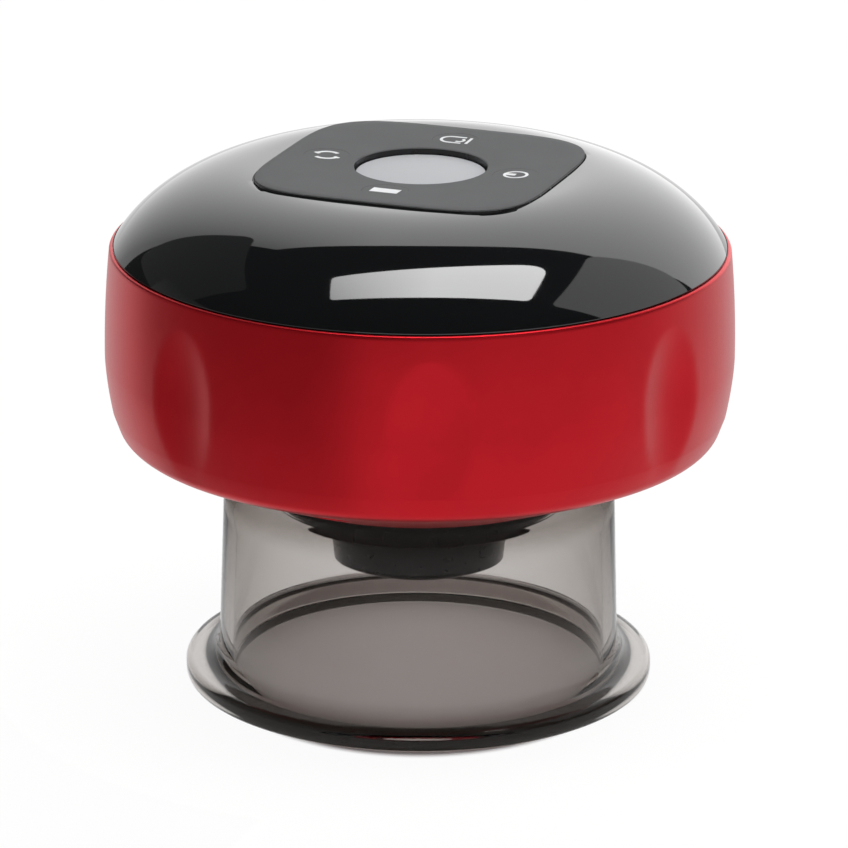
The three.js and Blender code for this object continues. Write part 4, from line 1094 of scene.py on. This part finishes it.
# Light comes from sheets that the camera doesn't see, not even through clear pieces
SHEET_STEPS = 10

# Overhead strip: each corner's place to the right and to the front, and how far off its round starts
STRIP_HEIGHT = 1.0
STRIP_CORNERS = (
    (-0.42, 0.27, 0.03),
    (-0.325, -0.035, 0.03),
    (0.45, -0.26, 0.14),
    (0.53, 0.25, 0.05),
)
STRIP_LEVELS = (4.1, 9.2)
STRIP_SPAN = (-0.45, 0.05)

# Wide panel behind the object, brighter towards its right and its top
BACK_DISTANCE = 1.0
BACK_WIDTH = 2.63
BACK_HEIGHT = 2.0
BACK_RIGHT = 0.415
BACK_LEVELS = (0.6, 1.9)
BACK_TURN = 1.5
BACK_RISE = 0.25
BACK_SPAN = (-1.1, 0.2)

# Weak cards at both sides and in front
CARD_DISTANCE = 1.0
CARD_ROUND = 0.06
CARDS = {
    "right_card": {"azimuth": 98, "elevation": 37, "width": 0.68, "height": 0.72, "level": 0.95},
    "left_card": {"azimuth": -118, "elevation": 34.5, "width": 0.65, "height": 0.63, "level": 0.12},
    "front_card": {"azimuth": 24, "elevation": 24, "width": 1.1, "height": 0.6, "level": 0.42},
}

# Dim screen round the front left of the foot, out along the floor and then up: reach and height
FLAG_START = -20
FLAG_END = -100
FLAG_PROFILE = ((0.062, 0.001), (0.115, 0.001), (0.115, 0.11))
FLAG_TOP = FLAG_PROFILE[-1][1]
FLAG_STEPS = 24
FLAG_LEVELS = (0.58, 0.13)


def rounded(corners):
    """Outline through corners, each a place and how far from it the curve round it starts."""
    points = []
    for i, (x, y, size) in enumerate(corners):
        here = Vector((x, y))
        before = here + (Vector(corners[i - 1][:2]) - here).normalized() * size
        after = here + (Vector(corners[(i + 1) % len(corners)][:2]) - here).normalized() * size
        for step in range(SHEET_STEPS + 1):
            share = step / SHEET_STEPS
            points.append(before.lerp(here, share).lerp(here.lerp(after, share), share))
    return points


def glow(name, levels, axis=(0, 0, 1), span=(0, 1)):
    """Light whose level runs between two values over a span of places along an axis."""
    material = bpy.data.materials.new(name)
    material.use_nodes = True
    tree = material.node_tree
    tree.nodes.remove(tree.nodes["Principled BSDF"])
    shine = tree.nodes.new("ShaderNodeEmission")
    place = tree.nodes.new("ShaderNodeNewGeometry")
    along = tree.nodes.new("ShaderNodeVectorMath")
    along.operation = "DOT_PRODUCT"
    along.inputs[1].default_value = axis
    tree.links.new(place.outputs["Position"], along.inputs[0])
    level = add_range(tree, along.outputs["Value"], *levels, *span)
    tree.links.new(level, shine.inputs["Strength"])
    tree.links.new(shine.outputs["Emission"], tree.nodes["Material Output"].inputs["Surface"])
    return material


def light_sheet(name, points, material, faces=None):
    sheet = make_piece(name, points, faces or [tuple(range(len(points)))])
    sheet.data.materials.append(material)
    sheet.visible_camera = False
    sheet.visible_transmission = False
    sheet.visible_shadow = False


def strip_light():
    front, right = toward(0, 0), toward(90, 0)
    above = UP * (AIM_HEIGHT + STRIP_HEIGHT)
    strip = [above + right * p.x + front * p.y for p in rounded(STRIP_CORNERS)]
    light_sheet("strip_light", strip, glow("strip_light", STRIP_LEVELS, right, STRIP_SPAN))


def back_light():
    front, right = toward(0, 0), toward(90, 0)
    foot = right * BACK_RIGHT - front * BACK_DISTANCE
    side = right * BACK_WIDTH / 2
    top = UP * BACK_HEIGHT
    panel = [foot - side, foot + side, foot + side + top, foot - side + top]
    brighter = right * BACK_TURN + UP * BACK_RISE
    light_sheet("back_light", panel, glow("back_light", BACK_LEVELS, brighter, BACK_SPAN))


def card_light(name, azimuth, elevation, width, height, level):
    away = toward(azimuth, elevation)
    turn = away.to_track_quat("Z", "Y")
    signs = ((-1, -1), (1, -1), (1, 1), (-1, 1))
    corners = [(x * width / 2, y * height / 2, CARD_ROUND) for x, y in signs]
    centre = UP * AIM_HEIGHT + away * CARD_DISTANCE
    points = [centre + turn @ p.to_3d() for p in rounded(corners)]
    light_sheet(name, points, glow(name, (level, level)))


def dim_flag():
    flag = []
    for reach, height in FLAG_PROFILE:
        for step in range(FLAG_STEPS + 1):
            turn = FLAG_START + (FLAG_END - FLAG_START) * step / FLAG_STEPS
            flag.append(toward(turn, 0) * reach + UP * height)
    row = FLAG_STEPS + 1
    starts = [i + row * j for j in range(len(FLAG_PROFILE) - 1) for i in range(FLAG_STEPS)]
    walls = [(i, i + 1, i + row + 1, i + row) for i in starts]
    light_sheet("dim_flag", flag, glow("dim_flag", FLAG_LEVELS, UP, (0, FLAG_TOP)), walls)


# Room and floor: both white to the camera and through clear pieces, but mirrors see a dark room
WORLD_FILL = 0.15
WORLD_MIRRORED = 0.04
FLOOR_RADIUS = 4.0
FLOOR_DEPTH = 0.02
FLOOR_GLOW = 0.95
FLOOR_SHADE = 1.5 * MM
SHADE_REACH = 37.5 * MM
SHADE_BACK = 3.5 * MM
SHADE_NARROW = 0.82


def add_seen(tree, rays):
    """1 for a ray from the camera or through a clear piece, and 0 for any other."""
    return add_math(tree, "MAXIMUM", rays.outputs["Is Camera Ray"], rays.outputs["Is Transmission Ray"])


def place_world():
    world = bpy.data.worlds.new("studio")
    bpy.context.scene.world = world
    world.use_nodes = True
    tree = world.node_tree
    background = tree.nodes["Background"]
    background.inputs["Color"].default_value = (1, 1, 1, 1)
    rays = tree.nodes.new("ShaderNodeLightPath")
    dim = add_range(tree, rays.outputs["Is Glossy Ray"], WORLD_FILL, WORLD_MIRRORED, 0, 1)
    strength = tree.nodes.new("ShaderNodeMapRange")
    strength.inputs["To Max"].default_value = 1
    tree.links.new(add_seen(tree, rays), strength.inputs["Value"])
    tree.links.new(dim, strength.inputs["To Min"])
    tree.links.new(strength.outputs["Result"], background.inputs["Strength"])


def add_glow_share(tree):
    """How far the floor glows here: not at all in an oval under the object, where its shade shows."""
    place = tree.nodes.new("ShaderNodeNewGeometry")
    facing = tree.nodes.new("ShaderNodeMapping")
    facing.vector_type = "TEXTURE"
    facing.inputs["Location"].default_value = toward(0, 0) * -SHADE_BACK
    facing.inputs["Rotation"].default_value = (0, 0, math.radians(CAMERA_AZIMUTH))
    facing.inputs["Scale"].default_value = (SHADE_NARROW, 1, 1)
    tree.links.new(place.outputs["Position"], facing.inputs["Vector"])
    away = tree.nodes.new("ShaderNodeVectorMath")
    away.operation = "LENGTH"
    tree.links.new(facing.outputs["Vector"], away.inputs[0])
    return add_range(tree, away.outputs["Value"], 0, FLOOR_GLOW, SHADE_REACH, SHADE_REACH + FLOOR_SHADE)


def place_floor():
    """Pale paper that glows to the camera, through clear pieces and in mirrors, except in the oval."""
    floor = turned("floor", [(FLOOR_RADIUS, -FLOOR_DEPTH), (FLOOR_RADIUS, 0)], False, FLOOR_STEPS)
    material = finish_of("floor_paper", colour=(0.93, 0.93, 0.93), shade=0.99, patch=400 * MM,
                         roughness=(0.85, 0.95), grain=3 * MM, depth=0.02 * MM)
    tree = material.node_tree
    white = tree.nodes.new("ShaderNodeEmission")
    white.inputs["Strength"].default_value = 1
    rays = tree.nodes.new("ShaderNodeLightPath")
    shown = add_math(tree, "MAXIMUM", add_seen(tree, rays), rays.outputs["Is Glossy Ray"])
    share = add_math(tree, "MULTIPLY", shown, add_glow_share(tree))
    mix = tree.nodes.new("ShaderNodeMixShader")
    tree.links.new(share, mix.inputs["Fac"])
    tree.links.new(tree.nodes["Principled BSDF"].outputs["BSDF"], mix.inputs[1])
    tree.links.new(white.outputs["Emission"], mix.inputs[2])
    tree.links.new(mix.outputs["Shader"], tree.nodes["Material Output"].inputs["Surface"])
    floor.data.materials.append(material)


place_camera()
dress_nodes()
suction_cup()
lower_shell()
dome_cover()
control_panel()
display_window()
for key_name in KEY_ANGLES:
    key(key_name)
bar_mark()
arrows_mark()
dial_mark()
loop_mark()
collar()
seal_ring()
nozzle()
heater_lens()
strip_light()
back_light()
for card_name, settings in CARDS.items():
    card_light(card_name, **settings)
dim_flag()
place_world()
place_floor()
bpy.context.scene.view_settings.view_transform = "Standard"
